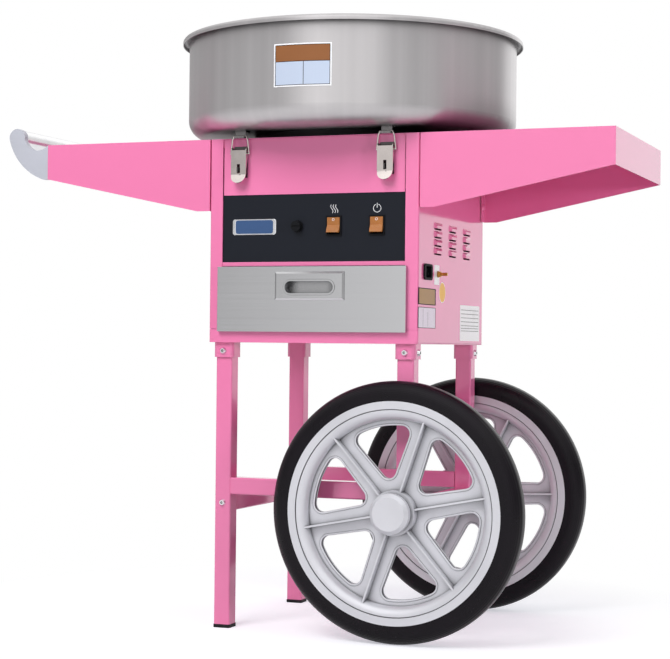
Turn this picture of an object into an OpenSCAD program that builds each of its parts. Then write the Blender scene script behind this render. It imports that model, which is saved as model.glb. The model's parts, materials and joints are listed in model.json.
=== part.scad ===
// Cotton candy cart: a folded sheet cabinet on a tube frame with two spoked wheels, two trays, a push handle,
// a drawer, and a spun bowl held by four toggle latches around a spinner head.
// Millimetres. X runs to the right, Y to the back, Z up from the floor. X = 0 is the middle of the length.

/* [Cabinet] */
// Width of the cabinet
cabinet_w = 325; // [315:1:345]
// Depth of the cabinet
cabinet_d = 325; // [315:1:345]
// Height of the cabinet shell
cabinet_h = 300; // [294:1:320]
// Height of the cabinet's underside above the floor
cabinet_z = 422; // [412:1:450]
// Thickness of the painted sheet
sheet_t = 1.2; // [1:0.1:1.5]
// Outer radius of the upright folds
fold_r = 3; // [2.5:0.5:5]
// Width of the flanges folded in at the front and the rear
flange_w = 20; // [16:1:22]
// Height of the base pan's rim
pan_rim_h = 19.5; // [16:0.5:21]

/* [Front] */
// Height of the window's lower edge above the cabinet's underside
window_up = 118; // [116:1:122]
// Height of the window for the control panel
window_h = 98.5; // [90:0.5:104]
// Height of the rail left under the window
rail_h = 6; // [5:0.5:7]
// Thickness of the control panel
panel_t = 2; // [1.5:0.5:3]
// Lap of the control panel behind the window's edges
panel_lap = 4.5; // [3:0.5:5]

/* [Controls] */
// Height of the switches above the window's lower edge
switch_up = 51.5; // [45:0.5:58]
// Distance of the heat switch from the middle
heat_x = 33; // [25:1:45]
// Distance of the power switch from the middle
power_x = 99; // [80:1:115]
// Width of a rocker
rocker_w = 19; // [16:0.5:21]
// Half height of a rocker's face
rocker_half = 11; // [10:0.5:12]
// Swing of a rocker to each side of its middle
rocker_a = 12; // [8:1:13]
// Distance of the fuse holder from the middle, to the left
fuse_x = 23.5; // [15:0.5:40]
// Radius of the fuse cap
fuse_cap_r = 7.5; // [6.5:0.25:9]
// Length of the fuse cap in front of its collar
fuse_cap_l = 7; // [5:0.5:10]

/* [Drawer] */
// Distance of the drawer front's ends from the cabinet's sides
drawer_margin = 16; // [10:0.5:18]
// Height of the drawer front
drawer_h = 95; // [90:0.5:96]
// Height of the drawer front's lower edge above the cabinet's underside
drawer_up = 16; // [14:0.5:18]
// Depth of the drawer front's folded edge
drawer_front_d = 7; // [5:0.5:10]
// Thickness of the drawer's sheet
drawer_t = 1; // [0.8:0.1:1.4]
// Room between the drawer box and the cabinet's sides
drawer_side = 27.5; // [26:0.5:40]
// Height of the drawer box
box_h = 70; // [55:1:74]
// Depth of the drawer box
box_d = 285; // [240:1:300]

/* [Drawer pull] */
// Width of the pull plate
pull_w = 108; // [100:1:125]
// Height of the pull plate
pull_h = 41.5; // [38:0.5:46]
// Depth of the pull plate in front of the drawer
pull_d = 3; // [2:0.5:5]
// Width of the bevel round the pull plate
pull_bevel = 3; // [2:0.5:4]
// Length of the finger slot
slot_w = 75; // [60:1:80]
// Height of the finger slot
slot_h = 17.5; // [15:0.5:20]
// Depth of the finger cup behind the drawer front
cup_d = 14; // [10:0.5:20]

/* [Frame] */
// Outer width of the square tubes
leg_w = 25; // [22:0.5:28]
// Wall of the square tubes
leg_wall = 1.5; // [1.2:0.1:2.5]
// Outer corner radius of the square tubes
leg_r = 2.5; // [1.5:0.5:4]
// Distance of the legs' outer faces from the cabinet's faces
leg_inset = 8.5; // [6:0.5:14]
// Wall of the leg sockets
socket_wall = 2.7; // [2:0.1:4]
// Height of the leg sockets
socket_h = 22; // [20:1:35]
// Height of the foot caps' flanges
foot_h = 5; // [4:0.5:10]
// Length of the right legs below the axle
leg_drop = 22; // [18:1:40]

/* [Wheels] */
// Radius of the tyres
tyre_r = 185; // [178:1:192]
// Width of the tyres and rims
tyre_w = 43; // [40:1:48]
// Radius of the tyres' shoulders
tyre_shoulder_r = 18.5; // [14:0.5:19.5]
// Outer radius of the rims
rim_r = 157; // [150:1:160]
// Width of the rims' flat side ring
rim_face_w = 12.5; // [9:0.5:15]
// Width of the rims' roll
rim_slope_w = 13.5; // [10:0.5:16]
// Thickness of the webs
web_t = 8; // [6:0.5:12]
// Radius of the hubs' bosses
hub_r = 32; // [30:0.5:34]
// Length of the hubs
hub_l = 48; // [46:1:52]
// Radius of the hub caps
cap_r = 28.5; // [27.5:0.5:30]
// Height of the hub caps
cap_h = 14; // [13:0.5:18]
// Thickness of the spoke ribs
rib_t = 2.5; // [2.5:0.25:5]
// Height of the spoke ribs above the wheel's middle plane
rib_h = 17; // [12:0.5:17.5]
// Radius at which the windows between the spokes begin
hole_in_r = 46; // [42:0.5:52]
// Radius at which the windows between the spokes end
hole_out_r = 125; // [115:0.5:127]
// Half width of the spokes
spoke_half = 14.5; // [12:0.5:17]
// Corner radius of the windows
hole_corner_r = 14; // [8:0.5:14.5]
// Radius of the axle
axle_r = 7; // [6:0.25:9]

/* [Trays] */
// Length of the left tray
tray_left_l = 276; // [240:1:320]
// Length of the right tray
tray_right_l = 281; // [240:1:320]
// Height of the trays at the cabinet
tray_in_h = 106; // [90:1:120]
// Height of the trays at their ends
tray_end_h = 52.5; // [45:0.5:60]
// Length of the level part of the trays' lower edge
tray_flat_l = 22; // [15:1:60]
// Width of the trays' inner flanges
tray_flange_w = 17; // [16:0.5:25]

/* [Handle] */
// Thickness of the handle horns
horn_t = 10; // [6:0.5:16]
// Reach of the bar's middle beyond the left tray's end
horn_reach = 54.5; // [48:0.5:60]
// Height of the bar's middle above the tray
horn_rise = 13.4; // [8:0.2:18]
// Radius of the horns' round tips
horn_tip_r = 13.6; // [12:0.2:16]
// Outer radius of the handle bar
bar_r = 12.5; // [9:0.25:13]
// Wall of the handle bar
bar_wall = 1.5; // [1.2:0.1:3]

/* [Bowl] */
// Reach of the rolled rim beyond the bowl's wall
rim_out = 10; // [8:0.5:16]
// Outer radius of the bowl's wall
bowl_r = 250; // [240:1:280]
// Height of the bowl from its floor to its rim
bowl_h = 148.5; // [130:0.5:200]
// Corner radius between the bowl's wall and floor
bowl_corner_r = 25; // [18:1:36]
// Thickness of the bowl's sheet
bowl_t = 1; // [0.8:0.1:1.5]
// Length of the skirt below the rolled rim
skirt_h = 3; // [2:0.5:8]
// Radius of the opening in the bowl's floor
neck_r = 42; // [38:1:48]
// Height of the collar round that opening
neck_h = 16; // [10:1:20]
// Middle radius of the rubber seat
seat_r = 143; // [120:1:148]
// Width of the rubber seat
seat_w = 10; // [6:0.5:14]
// Height of the rubber seat
seat_h = 11; // [10.5:0.25:14]

/* [Latches] */
// Distance of the latches from the cabinet's sides
latch_in = 48.7; // [46.5:0.2:62.5]
// Height of the lever pivots below the cabinet's top
latch_down = 18; // [16.5:0.25:20]
// Width of a lever
lever_w = 24; // [22:0.5:26]
// Length of a lever's straight part below its pivot
lever_l = 36; // [34:0.5:42]
// Length of a lever's finger tab
tab_l = 13.5; // [13:0.5:16]
// Tilt of a lever's finger tab
tab_a = 22; // [12:1:30]
// Radius of the bail wire
wire_r = 1.2; // [1:0.1:1.4]
// Width of a bail at its crossbar
bail_top_w = 19; // [18:0.5:20]
// Width of a bail at its pivots
bail_foot_w = 29; // [28.5:0.25:31]
// Width of a keeper
keeper_w = 16; // [12:0.5:16]

/* [Drive] */
// Radius of the motor
motor_r = 48; // [40:1:55]
// Height of the motor
motor_h = 90; // [70:1:105]
// Radius of the spindle
spindle_r = 5; // [4:0.25:6]
// Radius of the spinner head
spinner_r = 74; // [66:1:84]
// Height of the spinner head
spinner_h = 44; // [38:1:56]
// Radius of the sugar opening
sugar_r = 40; // [36:1:44]
// Number of slots in the spinner's band
spinner_slots = 36; // [24:1:40]

/* [Right side] */
// Length of one louvre
louvre_l = 39; // [32:0.5:48]
// Height of one louvre
louvre_h = 8.5; // [7:0.5:9.5]
// Depth of one louvre
louvre_d = 3; // [2.5:0.5:6]
// Distance of the power inlet from the cabinet's front
inlet_back = 41.5; // [40:0.5:52]
// Height of the power inlet above the cabinet's underside
inlet_up = 104; // [98:1:112]
// Distance of the earth stud from the cabinet's front
stud_back = 90.5; // [84:0.5:102]

/* [Hidden] */
$fn = 48;
pink = [0.95, 0.5, 0.69];
steel = [0.72, 0.72, 0.73];
bright = [0.84, 0.84, 0.86];
dark = [0.1, 0.1, 0.12];
pale = [0.79, 0.8, 0.84];
amber = [0.8, 0.52, 0.25];
brass = [0.78, 0.6, 0.3];
copper = [0.75, 0.45, 0.3];

// Overrun of a cut past the face that it opens
over = 1;
// Gap at the seams between fixed panels
seam = 0.4;
// Gap between faces that move past each other
run_gap = 0.3;
// Radial clearance of a turning fit
fit = 0.05;
// Smallest fold radius inside a fold
fold_min_r = 0.3;
// Extra radius of a round corner or bend, which makes it cross the pieces that it joins
corner_lap = 0.03;

half_w = cabinet_w / 2;
half_d = cabinet_d / 2;
cab_top = cabinet_z + cabinet_h;
roof_z = cab_top - sheet_t;
wall_z = cabinet_z + pan_rim_h + seam;
face_y = half_d - sheet_t;
panel_half = half_w - fold_r - seam;
drawer_w = cabinet_w - 2 * drawer_margin;
latch_x = half_w - latch_in;
inlet_y = half_d - inlet_back;
stud_y = half_d - stud_back;

// The base pan's rim runs along the front and the rear and turns round the corners
rim_return_l = 3;
rim_return = fold_r + rim_return_l;
apron_z = cabinet_z + sheet_t + seam;
apron_half = half_d - rim_return - seam;

lip_inset = 2 * sheet_t + seam;
lip_h = 12;
roof_hole_r = 60;

// The whole length runs from the horn tips to the right tray's end
left_reach = half_w + tray_left_l + horn_reach + horn_tip_r;
right_reach = half_w + tray_right_l;
cart_shift = (left_reach - right_reach) / 2;

window_z = cabinet_z + window_up;
rail_z = window_z - rail_h;
window_half = half_w - flange_w;
panel_y = half_d - 2 * sheet_t;
panel_slot_w = 1.3;
panel_bridge = 3;
switch_z = window_z + switch_up;

// Switches: the bezel stands on the panel, and the rocker turns on two pins in the housing
bezel_wall = 2.2;
bezel_t = 2;
rocker_gap = 0.3;
rocker_mid = 4;
rocker_edge = 3.5;
rocker_boss_r = 4;
rocker_pin_r = 1.5;
rocker_pin_l = 1.2;
rocker_pivot_in = 1;
rocker_end = rocker_mid + rocker_half * tan(rocker_a);
rocker_reach = sqrt(rocker_half * rocker_half + rocker_end * rocker_end);
rocker_end_a = atan2(rocker_half, rocker_end) + rocker_a;
well_half = rocker_reach * sin(min(rocker_end_a, 90)) + rocker_gap;
well_w = rocker_w + 2 * rocker_gap;
well_d = rocker_boss_r + rocker_pivot_in + over;
housing_d = 22;
housing_wall = 1.4;
blade_l = 9;
blade_w = 6;
blade_t = 0.8;
blade_pitch = 7;

// Fuse holder
fuse_collar_lap = 1.2;
fuse_collar_r = fuse_cap_r + fuse_collar_lap;
fuse_collar_t = 1.6;
fuse_barrel_r = 6;
fuse_gap = 0.2;
fuse_barrel_l = 30;
fuse_bore_r = 4.6;
fuse_stem_l = 16;
fuse_nut_r = 9;
fuse_nut_t = 4;
coin_w = 1.6;
coin_d = 1.5;

// Drawer: a front plate, a box on runner lips, and a bay round it
drawer_z = cabinet_z + drawer_up;
drawer_back = half_d + seam;
box_front = drawer_back + drawer_front_d - drawer_t;
box_up = 26;
box_z = cabinet_z + box_up;
box_flange_w = 14;
box_w = cabinet_w - 2 * drawer_side;
bay_gap = 2;
bay_in = box_w / 2 + bay_gap;
bay_lip_w = 14;
bay_drop = 5;
bay_top = rail_z - bay_drop;
bay_back = half_d - 2 * sheet_t;
pull_share = 0.7;
pull_z = drawer_z + drawer_h * pull_share;
slot_drop = 1.9;
slot_z = pull_z - slot_drop;
cup_wall = 1.2;
cup_side = 2;
cup_w = slot_w + 2 * (cup_wall + cup_side);
cup_h = slot_h + 2 * (cup_wall + cup_side);
slot_frame_w = 2.2;
slot_frame_d = 1.2;

// Frame
leg_x = half_w - leg_inset - leg_w / 2;
leg_y = half_d - leg_inset - leg_w / 2;
socket_gap = 0.3;
socket_in = leg_w + 2 * socket_gap;
socket_out = socket_in + 2 * socket_wall;
axle_z = tyre_r;
brace_z = axle_z + leg_w;
leg_bottom = axle_z - leg_drop;
foot_lip = 0.6;
foot_plug_h = 16;
foot_plug_gap = 0.2;
foot_rib_t = 2;
end_cap_h = 3;
end_plug_gap = 3;
end_plug_h = leg_drop - axle_r - end_plug_gap;
plug_l = 14;

// Screws with domed heads and hexagon sockets
screw_r = 3;
screw_clear = 0.1;
screw_head_r = 5.2;
screw_top_r = 3.6;
screw_head_h = 3.2;
screw_hex_r = 2.3;
screw_hex_d = 2;
screw_share = 0.57;
screw_z = cabinet_z - socket_h * screw_share;
screw_tip = 3;
screw_l = socket_wall + socket_gap + leg_wall + screw_tip;
brace_screw_short = 2;
brace_screw_l = leg_w + plug_l - brace_screw_short;
tray_screw_in = 9.5;
tray_screw_tip = 6;
tray_gap = 1.3;
tray_screw_l = tray_gap + 2 * sheet_t + tray_screw_tip;
tray_screw_shares = [0.3, 0.78];

// Wheels
spacer_l = 6.7;
spacer_r = 11;
wheel_y = leg_y + leg_w / 2 + spacer_l + run_gap + hub_l / 2;
rim_half = tyre_w / 2;
rim_step = 1;
rim_groove_w = 1.4;
rim_groove_d = 2.5;
roll_z = rim_half - rim_step - rim_slope_w;
boss_step = 1;
hub_boss_h = rib_h + boss_step;
hub_neck_r = 26;
rim_lip_r = rim_r - rim_face_w;
rim_foot_r = rim_lip_r - rim_slope_w;
rib_end_r = rim_lip_r - rim_slope_w / 4;
spokes = 6;
front_phase = 11;
rear_phase = 2;
nut_flange_r = 12;
nut_flange_t = 2;
nut_r = 10.5;
nut_t = 7;
axle_tip = 0.8;
axle_end = hub_l / 2 + run_gap + nut_flange_t + nut_t + axle_tip;
cap_wall = 1.5;
cap_chamfer = 5;
cap_in_r = 22;

// Handle
horn_arc_r = 88.8;
horn_arc_a = 14.6;
throat_r = 24.5;
throat_a = 5.6;
throat_bite = 0.9;
spigot_l = 10;
spigot_gap = 0.2;
tip_x = -half_w - tray_left_l - horn_reach;
tip_z = cab_top + horn_rise;

// Bowl
bowl_z = cab_top + seat_h;
rim_z = bowl_z + bowl_h;
rim_bowl_r = bowl_r + rim_out;
bead_r = (rim_out + bowl_t) / 2;
bead_z = rim_z - bead_r;

// Latches: x runs along the wall, -y out of it, and z = 0 is the lever's pivot
latch_z = cab_top - latch_down;
latch_t = 1.2;
pivot_out = 6;
pin_r = 1.5;
cheek_in = lever_w / 2 - latch_t;
ear_in = cheek_in - run_gap - latch_t;
ear_r = 2.6;
ear_drop = 5;
base_half = ear_in + latch_t;
base_up = 6;
base_tail = 4;
base_down = lever_l + base_tail;
cheek_r = 4;
cheek_short = 8;
cheek_l = lever_l - cheek_short;
cheek_low = 3.5;
cheek_share = 0.4;
cheek_shares = [0.8, 0.5];
tab_in = 0.6;
plate_step = 3;
plate_out = pivot_out + plate_step;
bail_arm = 5;
bail_arm_a = -15;
bail_y = pivot_out + bail_arm * sin(bail_arm_a);
bail_z = -bail_arm * cos(bail_arm_a);
crossbar_out = 5.2;
crossbar_drop = 8;
crossbar_z = seat_h + latch_down - crossbar_drop;
shoulder_drop = 5;
bail_pin_gap = 0.05;
staple_up = 7;
staple_z = -lever_l + staple_up;
staple_t = 2;
staple_h = 7;
staple_tip = 4;
staple_out = plate_out + latch_t + staple_tip;
staple_cut = 5;
staple_slot_up = 3.5;
staple_hole_r = 1.6;
staple_gap = 1.4;
rivet_r = 2.4;
rivet_h = 1;
rivet_shares = [0.32, 0.62];

// Keeper: a flange under the bowl, a tab, and a trough for the crossbar
keeper_t = 1.4;
keeper_gap_in = 0.9;
keeper_gap_out = 1.4;
keeper_gap_low = 0.6;
keeper_lip = 0.2;
keeper_flange_l = 17;
keeper_tab = crossbar_out - wire_r - keeper_gap_in;
keeper_lip_out = crossbar_out + wire_r + keeper_gap_out;
keeper_floor = crossbar_z - wire_r - keeper_gap_low;
keeper_top = seat_h + latch_down;
keeper_rivet_r = 1.8;
keeper_rivet_h = 0.9;

// Drive
mount_h = 20;
mount_r = 9;
mount_waist = 1.5;
mount_at = 46;
motor_plate_w = 116;
motor_plate_r = 10;
motor_plate_t = 3;
motor_top = roof_z - mount_h;
motor_boss_r = 18;
motor_boss_h = 3;
motor_fins = 5;
motor_fin_d = 2.5;
motor_bell_h = 10;
motor_bell_in = 8;
bearing_depth = 34;
end_gap = 0.5;
slip_r = 21;
slip_h = 15;
slip_groove_d = 1.2;
slip_groove_h = 1.6;
slip_groove_shares = [0.1, 0.5, 0.9];
slip_z = motor_top + motor_boss_h + over;
brush_w = 18;
brush_l = 24;
brush_h = 6;
brush_gap = 0.4;
brush_block_in = 0.6;
brush_shares = [0.3, 0.7];
brush_foot_t = 3;
spinner_floor_t = 2;
spinner_gap = 8;
spinner_z = bowl_z + neck_h + spinner_gap;
spinner_wall = 2;
spinner_rim_h = 12;
spinner_hub_r = 11;
spinner_hub_h = 20;
spinner_hub_drop = 6;
spinner_step = 1;
lid_t = 2;
lid_lip_h = 8;
slot_rise_shares = [0.36, 0.86];
spinner_slot_w = 2.4;
heater_r = 58;
heater_t = 1.2;
heater_h = 20;
heater_coil_r = 2;
heater_coils = 3;
cap_can_r = 18;
cap_can_h = 58;
cap_can_x = -92;
cap_can_y = 70;
cap_band_h = 12;
cap_band_t = 1.2;
cap_foot_w = 14;

// Right side fittings
louvre_pitch_z = 12.2;
louvre_pitch_y = 72.5;
louvre_up = 177.5;
louvre_top = cabinet_z + louvre_up;
louvre_lip = 1.6;
louvre_cut = 2;
louvre_taper = 7;
louvre_wall = 2.5;
hood_out_share = 0.7;
hood_knee_share = 0.3;
hood_brow_share = 0.5;
louvre_cols = [-1, 0, 1];
louvre_rows = 4;
inlet_z = cabinet_z + inlet_up;
inlet_w = 37;
inlet_h = 23;
inlet_r = 5;
inlet_t = 2.6;
inlet_body_w = 28;
inlet_body_h = 20;
inlet_clear = 2.3;
inlet_body_d = drawer_side - bay_gap - sheet_t - inlet_clear;
inlet_well_w = 24.4;
inlet_well_h = 16.6;
inlet_floor = 7;
inlet_well_d = inlet_body_d - inlet_floor;
inlet_well_r = 2;
inlet_gap = 0.3;
inlet_pin_w = 2;
inlet_pin_h = 4;
inlet_pin_short = 3;
inlet_pin_l = inlet_well_d - inlet_pin_short;
inlet_pin_pitch = 7;
inlet_pin_down = 2.5;
stud_down = 1.5;
stud_z = inlet_z - stud_down;
stud_r = 2.4;
stud_gap = 0.2;
stud_l = 15;
stud_in = 8;
stud_nut_r = 4.6;
stud_nut_t = 4;
stud_washer_r = 5;
stud_washer_t = 1.2;

// Shared shapes

module on_cart() {
    translate([cart_shift, 0, 0]) children();
}

module box(lo, hi) {
    translate(lo) cube(hi - lo);
}

module rounded(w, h, r) {
    square([w - 2 * r, h], center = true);
    square([w, h - 2 * r], center = true);
    for (sx = [-1, 1], sy = [-1, 1])
        translate([sx * (w / 2 - r), sy * (h / 2 - r)]) circle(r);
}

module plan(inset) {
    rounded(cabinet_w - 2 * inset, cabinet_d - 2 * inset, max(fold_r - inset, fold_min_r));
}

module post(z0, z1) {
    translate([0, 0, z0]) linear_extrude(z1 - z0) children();
}

// Extrudes a drawing of X and Z along Y, from y0 back to y1
module upright(y0, y1) {
    translate([0, y1, 0]) rotate([90, 0, 0]) linear_extrude(y1 - y0) children();
}

// Extrudes a drawing of Y and Z along X, from x0 to x1
module sideways(x0, x1) {
    translate([x0, 0, 0]) rotate([90, 0, 90]) linear_extrude(x1 - x0) children();
}

module tube_section() {
    difference() {
        rounded(leg_w, leg_w, leg_r);
        rounded(leg_w - 2 * leg_wall, leg_w - 2 * leg_wall, max(leg_r - leg_wall, fold_min_r));
    }
}

module legs_at() {
    for (sx = [-1, 1], sy = [-1, 1])
        let ($sx = sx, $sy = sy)
            translate([sx * leg_x, sy * leg_y, 0]) children();
}

// Puts a piece on the outer faces of one leg's socket, with z pointing outward
module on_socket() {
    translate([0, $sy * socket_out / 2, screw_z]) rotate([-90 * $sy, 0, 0]) children();
    translate([$sx * socket_out / 2, 0, screw_z]) rotate([0, 90 * $sx, 0]) children();
}

module screw(l) {
    difference() {
        cylinder(r1 = screw_head_r, r2 = screw_top_r, h = screw_head_h);
        translate([0, 0, screw_head_h - screw_hex_d])
            cylinder(r = screw_hex_r, h = screw_hex_d + over, $fn = 6);
    }
    translate([0, 0, -l]) cylinder(r = screw_r, h = l);
}

module screw_hole(l) {
    translate([0, 0, -l]) cylinder(r = screw_r + screw_clear, h = l + over);
}

module fuse_at() {
    translate([-fuse_x, -panel_y, switch_z]) rotate([90, 0, 0]) children();
}

module latch_at(sx, sy) {
    translate([sx * latch_x, sy * face_y, latch_z]) rotate([0, 0, sy < 0 ? 0 : 180]) children();
}

// Puts a piece on a tray's inner flanges, with z pointing away from the cabinet
module tray_screws_at(s) {
    for (sy = [-1, 1], share = tray_screw_shares)
        translate([s * (half_w + tray_gap + sheet_t), sy * (half_d - sheet_t - tray_screw_in),
                   cab_top - tray_in_h * share])
            rotate([0, 90 * s, 0]) children();
}

// Cabinet

module base_pan() {
    color(pink) on_cart() difference() {
        union() {
            post(cabinet_z, cabinet_z + pan_rim_h) difference() {
                plan(0);
                plan(sheet_t);
                square([cabinet_w + 2 * over, cabinet_d - 2 * rim_return], center = true);
            }
            post(cabinet_z, cabinet_z + sheet_t) plan(0);
            legs_at() post(cabinet_z - socket_h, cabinet_z + sheet_t / 2) difference() {
                rounded(socket_out, socket_out, leg_r + socket_wall);
                rounded(socket_in, socket_in, leg_r);
            }
        }
        legs_at() on_socket() screw_hole(socket_wall + over);
    }
}

module side_wall(s) {
    post(wall_z, roof_z) intersection() {
        difference() {
            plan(0);
            plan(sheet_t);
        }
        translate([s * (half_w - flange_w / 2), 0]) square([flange_w, cabinet_d], center = true);
    }
    box([s < 0 ? -half_w : half_w - sheet_t, -apron_half, apron_z],
        [s < 0 ? -half_w + sheet_t : half_w, apron_half, wall_z + over]);
}

module louvre_slot() {
    low = -louvre_h - louvre_cut;
    rotate([90, 0, 0]) linear_extrude(louvre_l - 2 * louvre_wall, center = true)
        polygon([[-sheet_t - over, low], [over, low], [over, -louvre_lip], [-sheet_t - over, -louvre_lip]]);
}

// The plan of a louvre, whose ends slope down to the panel
module louvre_plan(inset) {
    half = louvre_l / 2 - inset;
    depth = louvre_d + over;
    far = half - louvre_taper * depth / louvre_d;
    polygon([[-sheet_t - over, -half], [0, -half], [depth, -far],
             [depth, far], [0, half], [-sheet_t - over, half]]);
}

module louvre_hood() {
    knee = [louvre_d * hood_out_share, -louvre_h * hood_knee_share];
    brow = [louvre_d, -louvre_h * hood_brow_share];
    lip = [louvre_d, -louvre_h];
    back = [sheet_t, 0];
    low = -louvre_h - over;
    difference() {
        intersection() {
            rotate([90, 0, 0]) linear_extrude(louvre_l + 2 * over, center = true)
                polygon([[-sheet_t, 0], [0, 0], knee, brow, lip, [-sheet_t, -louvre_h]]);
            translate([0, 0, low]) linear_extrude(louvre_h + 2 * over) louvre_plan(0);
        }
        intersection() {
            rotate([90, 0, 0]) linear_extrude(louvre_l, center = true)
                polygon([[-sheet_t - over, -louvre_lip], knee - back, brow - back,
                         [louvre_d - sheet_t, low], [-sheet_t - over, low]]);
            translate([0, 0, low - over]) linear_extrude(louvre_h + 2 * over) louvre_plan(louvre_wall);
        }
    }
}

module louvres_at() {
    for (col = louvre_cols, row = [0 : louvre_rows - 1])
        translate([half_w, col * louvre_pitch_y, louvre_top - row * louvre_pitch_z]) children();
}

module side_panel_left() {
    color(pink) on_cart() difference() {
        side_wall(-1);
        tray_screws_at(-1) screw_hole(tray_gap + 2 * sheet_t + over);
    }
}

module side_panel_right() {
    color(pink) on_cart() {
        difference() {
            side_wall(1);
            louvres_at() louvre_slot();
            inlet_at() box([-inlet_body_w / 2 - inlet_gap, -inlet_body_h / 2 - inlet_gap, -sheet_t - over],
                           [inlet_body_w / 2 + inlet_gap, inlet_body_h / 2 + inlet_gap, over]);
            stud_at() translate([0, 0, -sheet_t - over])
                cylinder(r = stud_r + stud_gap, h = sheet_t + 2 * over);
            tray_screws_at(1) screw_hole(tray_gap + 2 * sheet_t + over);
        }
        louvres_at() louvre_hood();
    }
}

// The panel is slit along the side panels' flanges above the window, so that the flanges stand free of it
module front_panel() {
    slit_low = window_z + window_h;
    slit_high = roof_z - panel_bridge;
    color(pink) on_cart() upright(-face_y, -panel_y) difference() {
        polygon([[-panel_half, rail_z], [panel_half, rail_z], [panel_half, roof_z], [-panel_half, roof_z]]);
        polygon([[-window_half, window_z], [window_half, window_z],
                 [window_half, window_z + window_h], [-window_half, window_z + window_h]]);
        for (s = [-1, 1])
            translate([s * (window_half - panel_slot_w / 2), (slit_low + slit_high) / 2])
                square([panel_slot_w, slit_high - slit_low + over], center = true);
    }
}

module control_panel() {
    half = window_half + panel_lap;
    side = well_w / 2 + housing_wall + seam;
    rise = well_half + housing_wall + seam;
    color(dark) on_cart() difference() {
        box([-half, -panel_y, window_z - panel_lap],
            [half, -panel_y + panel_t, window_z + window_h + panel_lap]);
        for (x = [heat_x, power_x])
            switch_at(x) box([-side, -over, -rise], [side, panel_t + over, rise]);
        fuse_at() translate([0, 0, -panel_t - over])
            cylinder(r = fuse_barrel_r + fuse_gap, h = panel_t + 2 * over);
    }
}

module rear_panel() {
    color(pink) on_cart()
        box([-panel_half, panel_y, wall_z], [panel_half, face_y, roof_z]);
}

module top_plate() {
    color(pink) on_cart() difference() {
        union() {
            post(roof_z, cab_top) plan(0);
            post(roof_z - lip_h, roof_z + sheet_t / 2) difference() {
                plan(lip_inset);
                plan(lip_inset + sheet_t);
            }
        }
        translate([0, 0, roof_z - over]) cylinder(r = roof_hole_r, h = sheet_t + 2 * over);
    }
}

// Drawer

module drawer_bay() {
    lip_z = box_z - run_gap - sheet_t;
    color(steel) on_cart() {
        upright(-panel_y, bay_back) {
            polygon([[-bay_in - sheet_t, bay_top - sheet_t], [bay_in + sheet_t, bay_top - sheet_t],
                     [bay_in + sheet_t, bay_top], [-bay_in - sheet_t, bay_top]]);
            for (s = [-1, 1]) {
                polygon([[s * bay_in, lip_z], [s * (bay_in + sheet_t), lip_z],
                         [s * (bay_in + sheet_t), bay_top], [s * bay_in, bay_top]]);
                polygon([[s * (bay_in - bay_lip_w), lip_z], [s * (bay_in + sheet_t), lip_z],
                         [s * (bay_in + sheet_t), lip_z + sheet_t],
                         [s * (bay_in - bay_lip_w), lip_z + sheet_t]]);
            }
        }
        for (s = [-1, 1])
            upright(-face_y, -panel_y + sheet_t)
                polygon([[s * bay_in, lip_z], [s * panel_half, lip_z],
                         [s * panel_half, bay_top], [s * bay_in, bay_top]]);
    }
}

module drawer_box() {
    half = box_w / 2;
    front = -box_front;
    color(steel) on_cart() {
        difference() {
            box([-half, front, box_z], [half, front + box_d, box_z + box_h]);
            box([-half + drawer_t, front - over, box_z + drawer_t],
                [half - drawer_t, front + box_d - drawer_t, box_z + box_h + over]);
        }
        for (s = [-1, 1])
            translate([s * (half - box_flange_w / 2), front + drawer_t / 2, box_z + box_h / 2])
                cube([box_flange_w, drawer_t, box_h], center = true);
    }
}

module drawer_front() {
    half = drawer_w / 2;
    back = -drawer_back;
    color(bright) on_cart() difference() {
        box([-half, back - drawer_front_d, drawer_z], [half, back, drawer_z + drawer_h]);
        box([-half + drawer_t, back - drawer_front_d + drawer_t, drawer_z + drawer_t],
            [half - drawer_t, back + over, drawer_z + drawer_h - drawer_t]);
        translate([0, back - drawer_front_d, slot_z])
            cube([cup_w + 2 * seam, 2 * drawer_front_d, cup_h + 2 * seam], center = true);
    }
}

module stadium(w, h) {
    square([w - h, h], center = true);
    for (s = [-1, 1])
        translate([s * (w - h) / 2, 0]) circle(h / 2);
}

module drawer_pull() {
    front = drawer_back + drawer_front_d;
    color(bright) on_cart() difference() {
        union() {
            translate([0, -front, pull_z]) rotate([90, 0, 0]) hull() {
                linear_extrude(pull_d / 4) square([pull_w, pull_h], center = true);
                linear_extrude(pull_d)
                    square([pull_w - 2 * pull_bevel, pull_h - 2 * pull_bevel], center = true);
            }
            translate([0, -front + cup_d / 2, slot_z]) cube([cup_w, cup_d, cup_h], center = true);
            translate([0, -front - pull_d, slot_z]) rotate([90, 0, 0]) linear_extrude(slot_frame_d)
                stadium(slot_w + 2 * slot_frame_w, slot_h + 2 * slot_frame_w);
        }
        translate([0, -front + cup_d - cup_wall, slot_z]) rotate([90, 0, 0])
            linear_extrude(cup_d + pull_d + slot_frame_d + over) stadium(slot_w, slot_h);
    }
}

// Frame

module leg(sx, sy, z0, cross_r) {
    color(pink) on_cart() translate([sx * leg_x, sy * leg_y, 0]) difference() {
        post(z0, cabinet_z) tube_section();
        translate([0, 0, axle_z]) rotate([90, 0, 0])
            cylinder(r = cross_r, h = leg_w + 2 * over, center = true);
        let ($sx = sx, $sy = sy) on_socket() screw_hole(socket_wall + socket_gap + leg_wall + over);
    }
}

module leg_front_left() {
    leg(-1, -1, foot_h, screw_r + screw_clear);
}

module leg_rear_left() {
    leg(-1, 1, foot_h, screw_r + screw_clear);
}

module leg_front_right() {
    leg(1, -1, leg_bottom, axle_r + fit);
}

module leg_rear_right() {
    leg(1, 1, leg_bottom, axle_r + fit);
}

module cross_braces() {
    color(pink) on_cart() for (sy = [-1, 1])
        translate([0, sy * leg_y, brace_z])
            sideways(-leg_x + leg_w / 2, leg_x - leg_w / 2) tube_section();
}

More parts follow.
